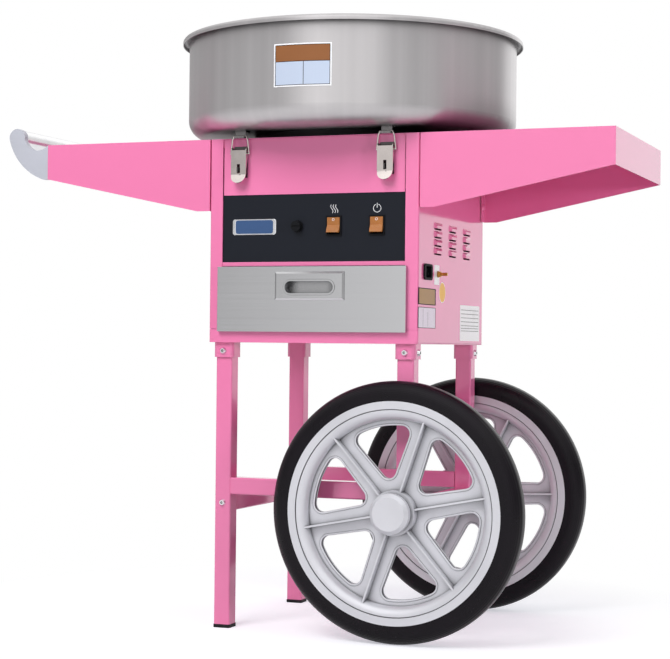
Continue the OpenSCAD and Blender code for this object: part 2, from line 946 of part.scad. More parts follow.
module side_brace_left() {
    inner = leg_y - leg_w / 2;
    color(pink) on_cart() translate([-leg_x, 0, axle_z]) difference() {
        union() {
            upright(-inner, inner) tube_section();
            for (s = [-1, 1])
                translate([0, s * (inner - plug_l / 2), 0])
                    cube([leg_w - leg_wall, plug_l, leg_w - leg_wall], center = true);
        }
        rotate([90, 0, 0]) cylinder(r = screw_r + screw_clear, h = cabinet_d, center = true);
    }
}

module side_brace_right() {
    inner = leg_y - leg_w / 2;
    color(pink) on_cart() translate([leg_x, 0, axle_z]) upright(-inner, inner) tube_section();
}

module cap(z, h, plug_h) {
    plug = leg_w - 2 * leg_wall - 2 * foot_plug_gap;
    wide = leg_w + 2 * foot_lip;
    post(z - h, z) rounded(wide, wide, leg_r);
    post(z - h / 2, z + plug_h) difference() {
        rounded(plug, plug, leg_r);
        square([plug - 2 * foot_rib_t, plug - 2 * foot_rib_t], center = true);
    }
}

module leg_caps() {
    color(dark) on_cart() legs_at()
        if ($sx < 0)
            cap(foot_h, foot_h, foot_plug_h);
        else
            cap(leg_bottom, end_cap_h, end_plug_h);
}

module frame_screws() {
    color(bright) on_cart() {
        legs_at() on_socket() screw(screw_l);
        for (sy = [-1, 1])
            translate([-leg_x, sy * (leg_y + leg_w / 2), axle_z]) rotate([-90 * sy, 0, 0])
                screw(brace_screw_l);
        for (s = [-1, 1])
            tray_screws_at(s) screw(tray_screw_l);
    }
}

// Wheels

module at_axle(sy) {
    translate([leg_x, sy * wheel_y, axle_z]) rotate([-90 * sy, 0, 0]) children();
}

module axle() {
    color(bright) on_cart() translate([leg_x, 0, axle_z]) rotate([90, 0, 0])
        cylinder(r = axle_r, h = 2 * (wheel_y + axle_end), center = true);
}

module axle_nuts() {
    color(bright) on_cart() for (sy = [-1, 1]) at_axle(sy) {
        translate([0, 0, -hub_l / 2 - run_gap - spacer_l]) difference() {
            cylinder(r = spacer_r, h = spacer_l);
            translate([0, 0, -over]) cylinder(r = axle_r + fit, h = spacer_l + 2 * over);
        }
        translate([0, 0, hub_l / 2 + run_gap]) difference() {
            union() {
                cylinder(r = nut_flange_r, h = nut_flange_t);
                cylinder(r = nut_r, h = nut_flange_t + nut_t, $fn = 6);
            }
            translate([0, 0, -over]) cylinder(r = axle_r + fit, h = nut_flange_t + nut_t + 2 * over);
        }
    }
}

// One window between two spokes: straight sides along the spokes, an arc at the rim, round corners
module spoke_window() {
    mid = 180 / spokes;
    in_c = hole_in_r + hole_corner_r;
    out_c = hole_out_r - hole_corner_r;
    side = spoke_half + hole_corner_r;
    out_a = mid - asin(side / out_c);
    out_p = [out_c * cos(out_a), out_c * sin(out_a)];
    slope = atan2(out_p.y, out_p.x - in_c);
    far = hole_out_r / cos(out_a);
    off = hole_corner_r * [-sin(slope), cos(slope)];
    translate([in_c, 0]) circle(hole_corner_r + corner_lap);
    for (s = [-1, 1])
        translate([out_p.x, s * out_p.y]) circle(hole_corner_r + corner_lap);
    intersection() {
        circle(hole_out_r);
        polygon([[in_c + off.x, off.y], [out_p.x + off.x, out_p.y + off.y], out_p,
                 [far * cos(out_a), far * sin(out_a)], [far * cos(out_a), -far * sin(out_a)],
                 [out_p.x, -out_p.y], [out_p.x + off.x, -out_p.y - off.y], [in_c + off.x, -off.y]]);
    }
}

// The web and the rim: a flat ring outside, a fine groove, and a roll down to the web
module wheel_section() {
    difference() {
        union() {
            translate([rim_lip_r, -rim_half]) square([rim_face_w, tyre_w]);
            for (s = [-1, 1])
                intersection() {
                    translate([rim_lip_r, s * roll_z]) circle(rim_slope_w + corner_lap);
                    translate([0, -rim_half]) square([rim_lip_r + over, tyre_w]);
                }
            translate([rim_foot_r, -roll_z]) square([rim_slope_w + over, 2 * roll_z]);
            translate([0, -web_t / 2]) square([rim_foot_r + over, web_t]);
        }
        for (s = [-1, 1])
            translate([rim_lip_r + rim_groove_w / 2, s * rim_half])
                square([rim_groove_w, 2 * rim_groove_d], center = true);
    }
}

module wheel(phase) {
    rotate([0, 0, phase]) difference() {
        union() {
            rotate_extrude() wheel_section();
            cylinder(r = hub_r, h = 2 * hub_boss_h, center = true);
            cylinder(r = hub_neck_r, h = hub_l, center = true);
            for (k = [0 : spokes - 1])
                rotate([0, 0, k * 360 / spokes])
                    box([hub_r / 2, -rib_t / 2, -rib_h], [rib_end_r, rib_t / 2, rib_h]);
        }
        for (k = [0 : spokes - 1])
            rotate([0, 0, (k + 0.5) * 360 / spokes])
                linear_extrude(tyre_w, center = true) spoke_window();
        cylinder(r = axle_r + fit, h = hub_l + 2 * over, center = true);
    }
}

module tyre() {
    inner = rim_r + fit;
    crown = tyre_r - tyre_shoulder_r;
    rotate_extrude() difference() {
        union() {
            translate([inner - over, -rim_half]) square([crown - inner + over, tyre_w]);
            translate([crown, tyre_shoulder_r - rim_half])
                square([tyre_shoulder_r, tyre_w - 2 * tyre_shoulder_r]);
            for (s = [-1, 1])
                translate([crown, s * (rim_half - tyre_shoulder_r)]) circle(tyre_shoulder_r);
        }
        translate([0, -tyre_w]) square([inner, 2 * tyre_w]);
    }
}

module hub_cap() {
    translate([0, 0, hub_l / 2]) rotate_extrude()
        polygon([[cap_in_r, 0], [cap_r, 0], [cap_r, cap_h - cap_chamfer], [cap_r - cap_chamfer, cap_h],
                 [0, cap_h], [0, cap_h - cap_wall], [cap_in_r, cap_h - cap_wall - cap_chamfer / 2]]);
}

module wheel_front() {
    color(pale) on_cart() at_axle(-1) wheel(front_phase);
}

module wheel_rear() {
    color(pale) on_cart() at_axle(1) wheel(-rear_phase);
}

module tyre_front() {
    color(dark) on_cart() at_axle(-1) tyre();
}

module tyre_rear() {
    color(dark) on_cart() at_axle(1) tyre();
}

module hub_cap_front() {
    color(pale) on_cart() at_axle(-1) hub_cap();
}

module hub_cap_rear() {
    color(pale) on_cart() at_axle(1) hub_cap();
}

// Trays and handle

// A tray drawn to the right of the plane x = 0
module tray(l) {
    low = cab_top - tray_in_h;
    in_x = tray_gap + sheet_t;
    box([tray_gap, -half_d, roof_z], [l, half_d, cab_top]);
    box([l - sheet_t, -half_d, cab_top - tray_end_h], [l, half_d, cab_top]);
    box([tray_gap, -half_d, cab_top - tray_flange_w], [in_x, half_d, cab_top]);
    for (s = [-1, 1]) {
        translate([0, s * (half_d - sheet_t / 2), 0]) upright(-sheet_t / 2, sheet_t / 2)
            polygon([[tray_gap, cab_top], [l, cab_top], [l, cab_top - tray_end_h],
                     [tray_flat_l, low], [tray_gap, low]]);
        translate([tray_gap + sheet_t / 2, s * (half_d - tray_flange_w / 2), low + tray_in_h / 2])
            cube([sheet_t, tray_flange_w, tray_in_h], center = true);
    }
}

module tray_right() {
    color(pink) on_cart() difference() {
        translate([half_w, 0, 0]) tray(tray_right_l);
        tray_screws_at(1) screw_hole(tray_gap + sheet_t + over);
    }
}

module tray_left() {
    color(pink) on_cart() difference() {
        mirror([1, 0, 0]) translate([half_w, 0, 0]) tray(tray_left_l);
        tray_screws_at(-1) screw_hole(tray_gap + sheet_t + over);
    }
}

// The hook outline in X and Z: an outer arc round the tip, cut by the throat
module horn_outline() {
    end_x = -half_w - tray_left_l;
    arc_reach = horn_arc_r - horn_tip_r;
    throat_reach = horn_tip_r + throat_r - throat_bite;
    difference() {
        intersection() {
            translate([tip_x + arc_reach * cos(horn_arc_a), tip_z + arc_reach * sin(horn_arc_a)])
                circle(horn_arc_r, $fn = 120);
            polygon([[tip_x - horn_tip_r, cab_top - tray_end_h], [end_x, cab_top - tray_end_h],
                     [end_x, tip_z], [tip_x - horn_tip_r, tip_z]]);
        }
        translate([tip_x + throat_reach * cos(throat_a), tip_z + throat_reach * sin(throat_a)])
            circle(throat_r);
    }
    translate([tip_x, tip_z]) circle(horn_tip_r);
}

module handle_horns() {
    spigot_r = bar_r - bar_wall - spigot_gap;
    color(pale) on_cart() for (s = [-1, 1]) {
        translate([0, s * (half_d - horn_t / 2), 0]) upright(-horn_t / 2, horn_t / 2) horn_outline();
        translate([tip_x, s * (half_d - horn_t - spigot_l / 2), tip_z]) rotate([90, 0, 0])
            cylinder(r = spigot_r, h = spigot_l + 2 * over, center = true);
    }
}

module handle_bar() {
    l = cabinet_d - 2 * horn_t;
    color(bright) on_cart() translate([tip_x, 0, tip_z]) rotate([90, 0, 0]) difference() {
        cylinder(r = bar_r, h = l, center = true);
        cylinder(r = bar_r - bar_wall, h = l + 2 * over, center = true);
    }
}

// Bowl

module bowl_section(r, corner, z0, z1) {
    translate([0, z0]) square([r - corner, z1 - z0]);
    translate([0, z0 + corner]) square([r, z1 - z0 - corner]);
    translate([r - corner, z0 + corner]) circle(corner);
}

module bowl() {
    bead_x = rim_bowl_r - bead_r;
    color(steel) on_cart() rotate_extrude($fn = 96) {
        difference() {
            bowl_section(bowl_r, bowl_corner_r, bowl_z, bead_z);
            bowl_section(bowl_r - bowl_t, bowl_corner_r - bowl_t, bowl_z + bowl_t, bead_z + over);
            translate([0, bowl_z - over]) square([neck_r, bowl_h]);
        }
        translate([neck_r - bowl_t, bowl_z]) square([2 * bowl_t, neck_h]);
        intersection() {
            translate([bead_x, bead_z]) difference() {
                circle(bead_r);
                circle(bead_r - bowl_t);
            }
            translate([bead_x - bead_r, bead_z - bowl_t / 2]) square([2 * bead_r, bead_r + bowl_t]);
        }
        translate([rim_bowl_r - bowl_t, bead_z - skirt_h]) square([bowl_t, skirt_h]);
    }
}

module bowl_seat() {
    color(dark) on_cart() post(cab_top, bowl_z) difference() {
        circle(seat_r + seat_w / 2, $fn = 96);
        circle(seat_r - seat_w / 2, $fn = 96);
    }
}

module keeper() {
    sideways(-keeper_w / 2, keeper_w / 2) {
        polygon([[-keeper_tab, keeper_top - keeper_t], [-keeper_tab + keeper_flange_l, keeper_top - keeper_t],
                 [-keeper_tab + keeper_flange_l, keeper_top], [-keeper_tab, keeper_top]]);
        polygon([[-keeper_tab, keeper_floor - keeper_t], [-keeper_tab + keeper_t, keeper_floor - keeper_t],
                 [-keeper_tab + keeper_t, keeper_top], [-keeper_tab, keeper_top]]);
        polygon([[-keeper_lip_out - keeper_t, keeper_floor - keeper_t],
                 [-keeper_tab, keeper_floor - keeper_t],
                 [-keeper_tab, keeper_floor], [-keeper_lip_out - keeper_t, keeper_floor]]);
        polygon([[-keeper_lip_out - keeper_t, keeper_floor], [-keeper_lip_out, keeper_floor],
                 [-keeper_lip_out, crossbar_z - keeper_lip],
                 [-keeper_lip_out - keeper_t, crossbar_z - keeper_lip]]);
    }
    for (s = [-1, 1])
        translate([s * keeper_w / 4, -keeper_tab + keeper_flange_l / 2 + keeper_t,
                   keeper_top - keeper_t - keeper_rivet_h])
            cylinder(r = keeper_rivet_r, h = keeper_rivet_h + keeper_t / 2);
}

module bowl_keepers() {
    color(bright) on_cart() for (sx = [-1, 1], sy = [-1, 1])
        latch_at(sx, sy) keeper();
}

// Latches

module latch_base() {
    box([-base_half, -latch_t, -base_down], [base_half, 0, base_up]);
    for (s = [-1, 1])
        sideways(s < 0 ? -base_half : ear_in, s < 0 ? -ear_in : base_half) {
            polygon([[-pivot_out, ear_r], [0, ear_r], [0, -ear_drop], [-pivot_out - ear_r, -ear_drop],
                     [-pivot_out - ear_r, 0], [-pivot_out, 0]]);
            translate([-pivot_out, 0]) circle(ear_r);
        }
    translate([0, -pivot_out, 0]) rotate([0, 90, 0]) cylinder(r = pin_r, h = lever_w, center = true);
    difference() {
        box([-staple_t / 2, -staple_out, staple_z - staple_h / 2],
            [staple_t / 2, 0, staple_z + staple_h / 2]);
        translate([0, -staple_out + staple_h / 2, staple_z]) rotate([0, 90, 0])
            cylinder(r = staple_hole_r, h = staple_t + 2 * over, center = true);
    }
    for (share = rivet_shares, s = [-1, 1])
        translate([s * base_half / 2, -latch_t / 2, -base_down * share]) rotate([90, 0, 0])
            cylinder(r = rivet_r, h = latch_t / 2 + rivet_h);
}

module latch_bases() {
    color(steel) on_cart() for (sx = [-1, 1], sy = [-1, 1])
        latch_at(sx, sy) latch_base();
}

module lever() {
    half = lever_w / 2;
    tab_half = half - tab_in;
    difference() {
        union() {
            box([-half, -plate_out - latch_t, -lever_l], [half, -plate_out, 0]);
            translate([0, -plate_out - latch_t / 2, -lever_l]) rotate([-tab_a, 0, 0])
                upright(-latch_t / 2, latch_t / 2) difference() {
                    union() {
                        translate([-tab_half, -tab_l + tab_half]) square([2 * tab_half, tab_l]);
                        translate([0, -tab_l + tab_half]) circle(tab_half);
                    }
                    translate([-lever_w, latch_t / 2]) square([2 * lever_w, lever_w]);
                }
            for (s = [-1, 1])
                sideways(s < 0 ? -half : cheek_in, s < 0 ? -cheek_in : half) {
                    translate([-pivot_out, 0]) circle(cheek_r);
                    polygon([[-pivot_out, 0], [-plate_out - latch_t / 2, 0],
                             [-plate_out - latch_t / 2, -cheek_l],
                             [-plate_out, -cheek_l], [-cheek_low, -cheek_l * cheek_share],
                             [-pivot_out + cheek_r * cheek_shares[0], -cheek_r * cheek_shares[1]]]);
                }
        }
        translate([0, -pivot_out, 0]) rotate([0, 90, 0])
            cylinder(r = pin_r + fit, h = lever_w + 2 * over, center = true);
        translate([0, -bail_y, bail_z]) rotate([0, 90, 0])
            cylinder(r = wire_r + fit, h = lever_w + 2 * over, center = true);
        translate([0, -plate_out, staple_z + staple_slot_up / 2])
            cube([staple_t + 2 * staple_gap, staple_cut, staple_h + 2 * staple_gap + staple_slot_up],
                 center = true);
    }
}

// A length of wire between two points
module wire(a, b) {
    d = b - a;
    translate(a) rotate([0, acos(d.z / norm(d)), atan2(d.y, d.x)]) cylinder(r = wire_r, h = norm(d));
}

module bail() {
    for (s = [-1, 1]) {
        top = [s * bail_top_w / 2, -crossbar_out, crossbar_z];
        foot = [s * bail_foot_w / 2, -bail_y, bail_z];
        shoulder = top + [s * (bail_foot_w - bail_top_w) / 4, 0, -shoulder_drop];
        pin = [s * (cheek_in + bail_pin_gap), -bail_y, bail_z];
        wire(pin, foot);
        wire(foot, shoulder);
        wire(shoulder, top);
        for (p = [foot, shoulder, top])
            translate(p) sphere(wire_r + corner_lap);
    }
    translate([0, -crossbar_out, crossbar_z]) rotate([0, 90, 0])
        cylinder(r = wire_r, h = bail_top_w, center = true);
}

module lever_front_left() {
    color(bright) on_cart() latch_at(-1, -1) lever();
}

module lever_front_right() {
    color(bright) on_cart() latch_at(1, -1) lever();
}

module lever_rear_left() {
    color(bright) on_cart() latch_at(-1, 1) lever();
}

module lever_rear_right() {
    color(bright) on_cart() latch_at(1, 1) lever();
}

module bail_front_left() {
    color(bright) on_cart() latch_at(-1, -1) bail();
}

module bail_front_right() {
    color(bright) on_cart() latch_at(1, -1) bail();
}

module bail_rear_left() {
    color(bright) on_cart() latch_at(-1, 1) bail();
}

module bail_rear_right() {
    color(bright) on_cart() latch_at(1, 1) bail();
}

// Drive

module motor() {
    fin_pitch = (motor_h - 2 * motor_bell_h) / motor_fins;
    color(dark) on_cart() difference() {
        union() {
            post(motor_top - motor_plate_t, motor_top) rounded(motor_plate_w, motor_plate_w, motor_plate_r);
            translate([0, 0, motor_top - motor_h]) cylinder(r = motor_r - motor_bell_in, h = motor_h);
            translate([0, 0, motor_top - motor_h + motor_bell_h])
                cylinder(r = motor_r, h = motor_h - motor_bell_h);
            translate([0, 0, motor_top - over]) cylinder(r = motor_boss_r, h = motor_boss_h + over);
        }
        for (k = [0 : motor_fins - 1])
            translate([0, 0, motor_top - motor_h + motor_bell_h + (k + 0.5) * fin_pitch]) difference() {
                cylinder(r = motor_r + over, h = fin_pitch / 2);
                translate([0, 0, -over]) cylinder(r = motor_r - motor_fin_d, h = fin_pitch / 2 + 2 * over);
            }
        translate([0, 0, motor_top - bearing_depth])
            cylinder(r = spindle_r + fit, h = bearing_depth + motor_boss_h + over);
    }
}

module motor_mounts() {
    color(dark) on_cart() for (sx = [-1, 1], sy = [-1, 1])
        translate([sx * mount_at, sy * mount_at, motor_top]) rotate_extrude()
            polygon([[0, 0], [mount_r, 0], [mount_r, mount_h / 4], [mount_r - mount_waist, mount_h / 2],
                     [mount_r, mount_h - mount_h / 4], [mount_r, mount_h], [0, mount_h]]);
}

module capacitor() {
    color(pale) on_cart() translate([cap_can_x, cap_can_y, bay_top]) {
        cylinder(r = cap_can_r, h = cap_can_h);
        cylinder(r = cap_can_r + cap_band_t, h = cap_band_h);
        translate([0, 0, sheet_t / 2])
            cube([2 * (cap_can_r + cap_foot_w), cap_foot_w, sheet_t], center = true);
    }
}

module spindle() {
    foot_z = motor_top - bearing_depth + end_gap;
    color(bright) on_cart() translate([0, 0, foot_z])
        cylinder(r = spindle_r, h = spinner_z + spinner_hub_h - foot_z);
}

module slip_ring() {
    color(copper) on_cart() translate([0, 0, slip_z]) difference() {
        cylinder(r = slip_r, h = slip_h);
        translate([0, 0, -over]) cylinder(r = spindle_r + fit, h = slip_h + 2 * over);
        for (share = slip_groove_shares)
            translate([0, 0, slip_h * share - slip_groove_h / 2]) difference() {
                cylinder(r = slip_r + over, h = slip_groove_h);
                translate([0, 0, -over]) cylinder(r = slip_r - slip_groove_d, h = slip_groove_h + 2 * over);
            }
    }
}

module brush_holder() {
    brush_x = slip_r + brush_gap;
    color(dark) on_cart() {
        box([brush_x + brush_block_in, -brush_w / 2, motor_top],
            [brush_x + brush_l, brush_w / 2, slip_z + slip_h]);
        box([brush_x + brush_l / 2, -brush_w, motor_top],
            [brush_x + brush_l, brush_w, motor_top + brush_foot_t]);
        for (share = brush_shares)
            box([brush_x, -brush_h / 2, slip_z + slip_h * share - brush_h / 4],
                [brush_x + brush_l / 2, brush_h / 2, slip_z + slip_h * share + brush_h / 4]);
    }
}

module spinner_pan() {
    color(steel) on_cart() translate([0, 0, spinner_z]) rotate_extrude() difference() {
        union() {
            square([spinner_r, spinner_floor_t]);
            translate([spinner_r - spinner_wall, 0]) square([spinner_wall, spinner_rim_h]);
            translate([0, -spinner_hub_drop]) square([spinner_hub_r, spinner_hub_h]);
        }
        translate([0, -spinner_hub_drop - over]) square([spindle_r + fit, spinner_hub_h + 2 * over]);
    }
}

module heater_ring() {
    base = spinner_z + spinner_floor_t;
    color(copper) on_cart() rotate_extrude() {
        translate([heater_r, base]) square([heater_t, heater_h]);
        for (k = [0 : heater_coils - 1])
            translate([heater_r + heater_t / 2, base + (k + 0.5) * heater_h / heater_coils])
                circle(heater_coil_r);
    }
}

module spinner_lid() {
    band_z = spinner_z + spinner_rim_h;
    top = spinner_z + spinner_h;
    slot_lo = spinner_h * slot_rise_shares[0];
    slot_hi = spinner_h * slot_rise_shares[1];
    color(bright) on_cart() difference() {
        rotate_extrude() {
            translate([spinner_r - spinner_wall, band_z]) square([spinner_wall, top - band_z]);
            translate([spinner_r - 2 * spinner_wall, band_z - spinner_step])
                square([spinner_wall - fit, top - band_z + spinner_step]);
            translate([spinner_r - 2 * spinner_wall, band_z])
                square([2 * spinner_wall, spinner_step]);
            translate([sugar_r, top - lid_t]) square([spinner_r - sugar_r, lid_t]);
            translate([sugar_r, top - lid_lip_h]) square([lid_t, lid_lip_h]);
        }
        for (k = [0 : spinner_slots - 1])
            rotate([0, 0, k * 360 / spinner_slots])
                box([spinner_r - 3 * spinner_wall, -spinner_slot_w / 2, spinner_z + slot_lo],
                    [spinner_r + over, spinner_slot_w / 2, spinner_z + slot_hi]);
    }
}

// Controls

module switch_housing() {
    half = well_w / 2 + bezel_wall;
    body_half = well_w / 2 + housing_wall;
    difference() {
        union() {
            box([-half, -bezel_t, -well_half - bezel_wall], [half, 0, well_half + bezel_wall]);
            box([-body_half, -bezel_t / 2, -well_half - housing_wall],
                [body_half, panel_t + housing_d, well_half + housing_wall]);
            for (k = [-1 : 1])
                translate([0, panel_t + housing_d + blade_l / 2 - over, k * blade_pitch])
                    cube([blade_w, blade_l + 2 * over, blade_t], center = true);
        }
        box([-well_w / 2, -bezel_t - over, -well_half], [well_w / 2, well_d + over, well_half]);
        translate([0, rocker_pivot_in, 0]) rotate([0, 90, 0])
            cylinder(r = rocker_pin_r + fit, h = well_w + 2 * rocker_pin_l, center = true);
    }
}

module switch_at(x) {
    translate([x, -panel_y, switch_z]) children();
}

module switch_housings() {
    color(dark) on_cart() for (x = [heat_x, power_x])
        switch_at(x) switch_housing();
}

// The rocker rests with its upper half pressed in
module rocker() {
    translate([0, rocker_pivot_in, 0]) rotate([-rocker_a, 0, 0]) {
        sideways(-rocker_w / 2, rocker_w / 2) {
            polygon([[-rocker_mid, 0], [-rocker_end, rocker_half], [-rocker_end + rocker_edge, rocker_half],
                     [0, rocker_boss_r], [0, -rocker_boss_r], [-rocker_end + rocker_edge, -rocker_half],
                     [-rocker_end, -rocker_half]]);
            circle(rocker_boss_r);
        }
        rotate([0, 90, 0])
            cylinder(r = rocker_pin_r, h = rocker_w + 2 * rocker_pin_l, center = true);
    }
}

module heat_rocker() {
    color(amber) on_cart() switch_at(heat_x) rocker();
}

module power_rocker() {
    color(amber) on_cart() switch_at(power_x) rocker();
}

module fuse_holder() {
    color(dark) on_cart() fuse_at() difference() {
        union() {
            cylinder(r = fuse_collar_r, h = fuse_collar_t);
            translate([0, 0, -fuse_barrel_l])
                cylinder(r = fuse_barrel_r, h = fuse_barrel_l + fuse_collar_t / 2);
            translate([0, 0, -panel_t - fuse_nut_t]) cylinder(r = fuse_nut_r, h = fuse_nut_t, $fn = 6);
        }
        translate([0, 0, -fuse_stem_l - run_gap])
            cylinder(r = fuse_bore_r, h = fuse_stem_l + run_gap + fuse_collar_t + over);
    }
}

module fuse_cap() {
    face = fuse_collar_t + run_gap;
    color(dark) on_cart() fuse_at() difference() {
        union() {
            translate([0, 0, face]) cylinder(r = fuse_cap_r, h = fuse_cap_l);
            translate([0, 0, -fuse_stem_l]) cylinder(r = fuse_bore_r - fit, h = fuse_stem_l + face + over);
        }
        translate([0, 0, face + fuse_cap_l])
            cube([2 * fuse_cap_r + over, coin_w, 2 * coin_d], center = true);
    }
}

module inlet_at() {
    translate([half_w, -inlet_y, inlet_z]) rotate([90, 0, 90]) children();
}

module power_inlet() {
    color(dark) on_cart() inlet_at() {
        difference() {
            union() {
                linear_extrude(inlet_t) rounded(inlet_w, inlet_h, inlet_r);
                box([-inlet_body_w / 2, -inlet_body_h / 2, -inlet_body_d],
                    [inlet_body_w / 2, inlet_body_h / 2, inlet_t / 2]);
            }
            translate([0, 0, inlet_t - inlet_well_d]) linear_extrude(inlet_well_d + over)
                rounded(inlet_well_w, inlet_well_h, inlet_well_r);
        }
        for (k = [-1 : 1])
            translate([k * inlet_pin_pitch, k == 0 ? inlet_pin_down : -inlet_pin_down,
                       inlet_t - inlet_well_d + inlet_pin_l / 2 - over])
                cube([inlet_pin_w, inlet_pin_h, inlet_pin_l + over], center = true);
    }
}

module stud_at() {
    translate([half_w, -stud_y, stud_z]) rotate([90, 0, 90]) children();
}

module earth_stud() {
    color(brass) on_cart() stud_at() {
        translate([0, 0, -stud_in]) cylinder(r = stud_r, h = stud_in + stud_l);
        cylinder(r = stud_washer_r, h = stud_washer_t);
        cylinder(r = stud_nut_r, h = stud_washer_t + stud_nut_t, $fn = 6);
        translate([0, 0, -sheet_t - stud_nut_t]) cylinder(r = stud_nut_r, h = stud_nut_t, $fn = 6);
    }
}

base_pan();
side_panel_left();
side_panel_right();
front_panel();
control_panel();
rear_panel();
top_plate();
drawer_bay();
drawer_box();
drawer_front();
drawer_pull();
leg_front_left();
leg_rear_left();
leg_front_right();
leg_rear_right();
cross_braces();
side_brace_left();
side_brace_right();
leg_caps();
frame_screws();
axle();
axle_nuts();
wheel_front();
wheel_rear();
tyre_front();
tyre_rear();
hub_cap_front();
hub_cap_rear();
tray_left();
tray_right();
handle_horns();
handle_bar();
bowl();
bowl_seat();
bowl_keepers();
latch_bases();
lever_front_left();
lever_front_right();
lever_rear_left();
lever_rear_right();
bail_front_left();
bail_front_right();
bail_rear_left();
bail_rear_right();
motor();
motor_mounts();
capacitor();
spindle();
slip_ring();
brush_holder();
spinner_pan();
heater_ring();
spinner_lid();
switch_housings();
heat_rocker();
power_rocker();
fuse_holder();
fuse_cap();
power_inlet();
earth_stud();
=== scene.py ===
# Looks of the cotton candy cart: materials, plates, pictograms, floor, light and camera
import json
import math

import bmesh
import bpy
from mathutils import Matrix, Vector


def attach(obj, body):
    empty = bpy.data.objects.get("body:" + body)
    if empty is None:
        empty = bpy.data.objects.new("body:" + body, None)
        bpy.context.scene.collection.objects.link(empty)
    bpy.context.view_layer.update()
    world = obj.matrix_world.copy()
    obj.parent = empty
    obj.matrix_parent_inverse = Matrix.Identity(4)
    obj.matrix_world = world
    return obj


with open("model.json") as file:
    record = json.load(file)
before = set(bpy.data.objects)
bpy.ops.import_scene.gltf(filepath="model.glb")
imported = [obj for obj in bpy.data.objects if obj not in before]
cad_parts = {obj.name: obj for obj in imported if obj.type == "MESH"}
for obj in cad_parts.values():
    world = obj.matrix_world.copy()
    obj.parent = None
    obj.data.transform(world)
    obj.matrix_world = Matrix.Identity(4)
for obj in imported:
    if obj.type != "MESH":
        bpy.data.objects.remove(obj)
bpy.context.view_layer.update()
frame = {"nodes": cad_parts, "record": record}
nodes = frame["nodes"]
scene = bpy.context.scene
scene.view_settings.view_transform = "Standard"

MM = 0.001
FULL_TURN = 2 * math.pi
RIGHT = Vector((1, 0, 0))
BACK = Vector((0, 1, 0))
UP = Vector((0, 0, 1))

# The cabinet's middle in the row frame, in millimetres
CABINET_X = 31.55
# The axle and the wheels' middles, in millimetres from the cabinet's middle and the floor
AXLE_X = 141.5
AXLE_Z = 185
WHEEL_Y = 185


def at(x, y, z):
    """A point given in millimetres from the cabinet's middle and the floor, in metres in the row frame."""
    return Vector(((x + CABINET_X) * MM, y * MM, z * MM))


def linear(code):
    """A colour written as six hex digits, as linear light with full alpha."""
    parts = [int(code[i:i + 2], 16) / 255 for i in (0, 2, 4)]
    lit = [c / 12.92 if c <= 0.04045 else ((c + 0.055) / 1.055) ** 2.4 for c in parts]
    return (*lit, 1.0)


def scaled(colour, share):
    """A colour made darker or lighter, at most up to full light."""
    return (*[min(c * share, 1.0) for c in colour[:3]], 1.0)


# Camera, fitted to the photo
FOCAL_PX = 1783.02
IMAGE_W = 670
SENSOR_W = 36
CAMERA_AT = at(956.3, -2560.5, 418.1)
YAW = math.radians(20.97)
PITCH = math.radians(0.53)
ROLL = math.radians(0.60)
forward = Vector((-math.sin(YAW) * math.cos(PITCH), math.cos(YAW) * math.cos(PITCH), math.sin(PITCH)))
level = Vector((math.cos(YAW), math.sin(YAW), 0))
upward = level.cross(forward)
cam_x = level * math.cos(ROLL) + upward * math.sin(ROLL)
cam_y = upward * math.cos(ROLL) - level * math.sin(ROLL)
lens = bpy.data.cameras.new("camera")
lens.sensor_fit = "HORIZONTAL"
lens.sensor_width = SENSOR_W
lens.lens = FOCAL_PX * SENSOR_W / IMAGE_W
lens.clip_end = 100
camera = bpy.data.objects.new("camera", lens)
turn = Matrix((cam_x, cam_y, -forward)).transposed().to_4x4()
camera.matrix_world = Matrix.Translation(CAMERA_AT) @ turn
scene.collection.objects.link(camera)
scene.camera = camera


# Node helpers

# The mix node's sockets for its share, its two colours and its result
MIX_SHARE = 0
MIX_FIRST = 6
MIX_SECOND = 7
MIX_RESULT = 2


def add(tree, kind, inputs=None, **settings):
    """A new node, with each given input linked to a socket or set to a value."""
    node = tree.nodes.new(kind)
    for key, value in settings.items():
        setattr(node, key, value)
    for key, value in (inputs or {}).items():
        if isinstance(value, bpy.types.NodeSocket):
            tree.links.new(value, node.inputs[key])
        else:
            node.inputs[key].default_value = value
    return node


def start(name, **constants):
    """A new material with constants set on its shader: underscores stand for spaces in the names."""
    material = bpy.data.materials.new(name)
    material.use_nodes = True
    tree = material.node_tree
    shader = tree.nodes["Principled BSDF"]
    for key, value in constants.items():
        shader.inputs[key.replace("_", " ")].default_value = value
    return material, tree, shader


def place(tree, scale=(1, 1, 1), offset=(0, 0, 0)):
    """The object's own coordinates in metres, stretched and then shifted."""
    own = add(tree, "ShaderNodeTexCoord").outputs["Object"]
    return add(tree, "ShaderNodeMapping", {"Vector": own, "Scale": scale, "Location": offset}).outputs[0]


def noise(tree, scale, detail, vector=None):
    values = {"Vector": vector or place(tree), "Scale": scale, "Detail": detail}
    return add(tree, "ShaderNodeTexNoise", values).outputs[0]


def spread(tree, value, low, high, first=0.3, last=0.7):
    """Maps a value from first and last, by default the usual span of noise, to low and high."""
    values = {"Value": value, "From Min": first, "From Max": last, "To Min": low, "To Max": high}
    return add(tree, "ShaderNodeMapRange", values).outputs[0]


def mixed(tree, share, first, second):
    values = {MIX_SHARE: share, MIX_FIRST: first, MIX_SECOND: second}
    return add(tree, "ShaderNodeMix", values, data_type="RGBA").outputs[MIX_RESULT]


def math_node(tree, operation, first, second=0.0):
    return add(tree, "ShaderNodeMath", {0: first, 1: second}, operation=operation).outputs[0]


def plus(tree, first, second):
    return math_node(tree, "ADD", first, second)


def times(tree, first, second):
    return math_node(tree, "MULTIPLY", first, second)


def axes(tree, vector):
    """The X, Y and Z of a vector."""
    return add(tree, "ShaderNodeSeparateXYZ", {0: vector}).outputs


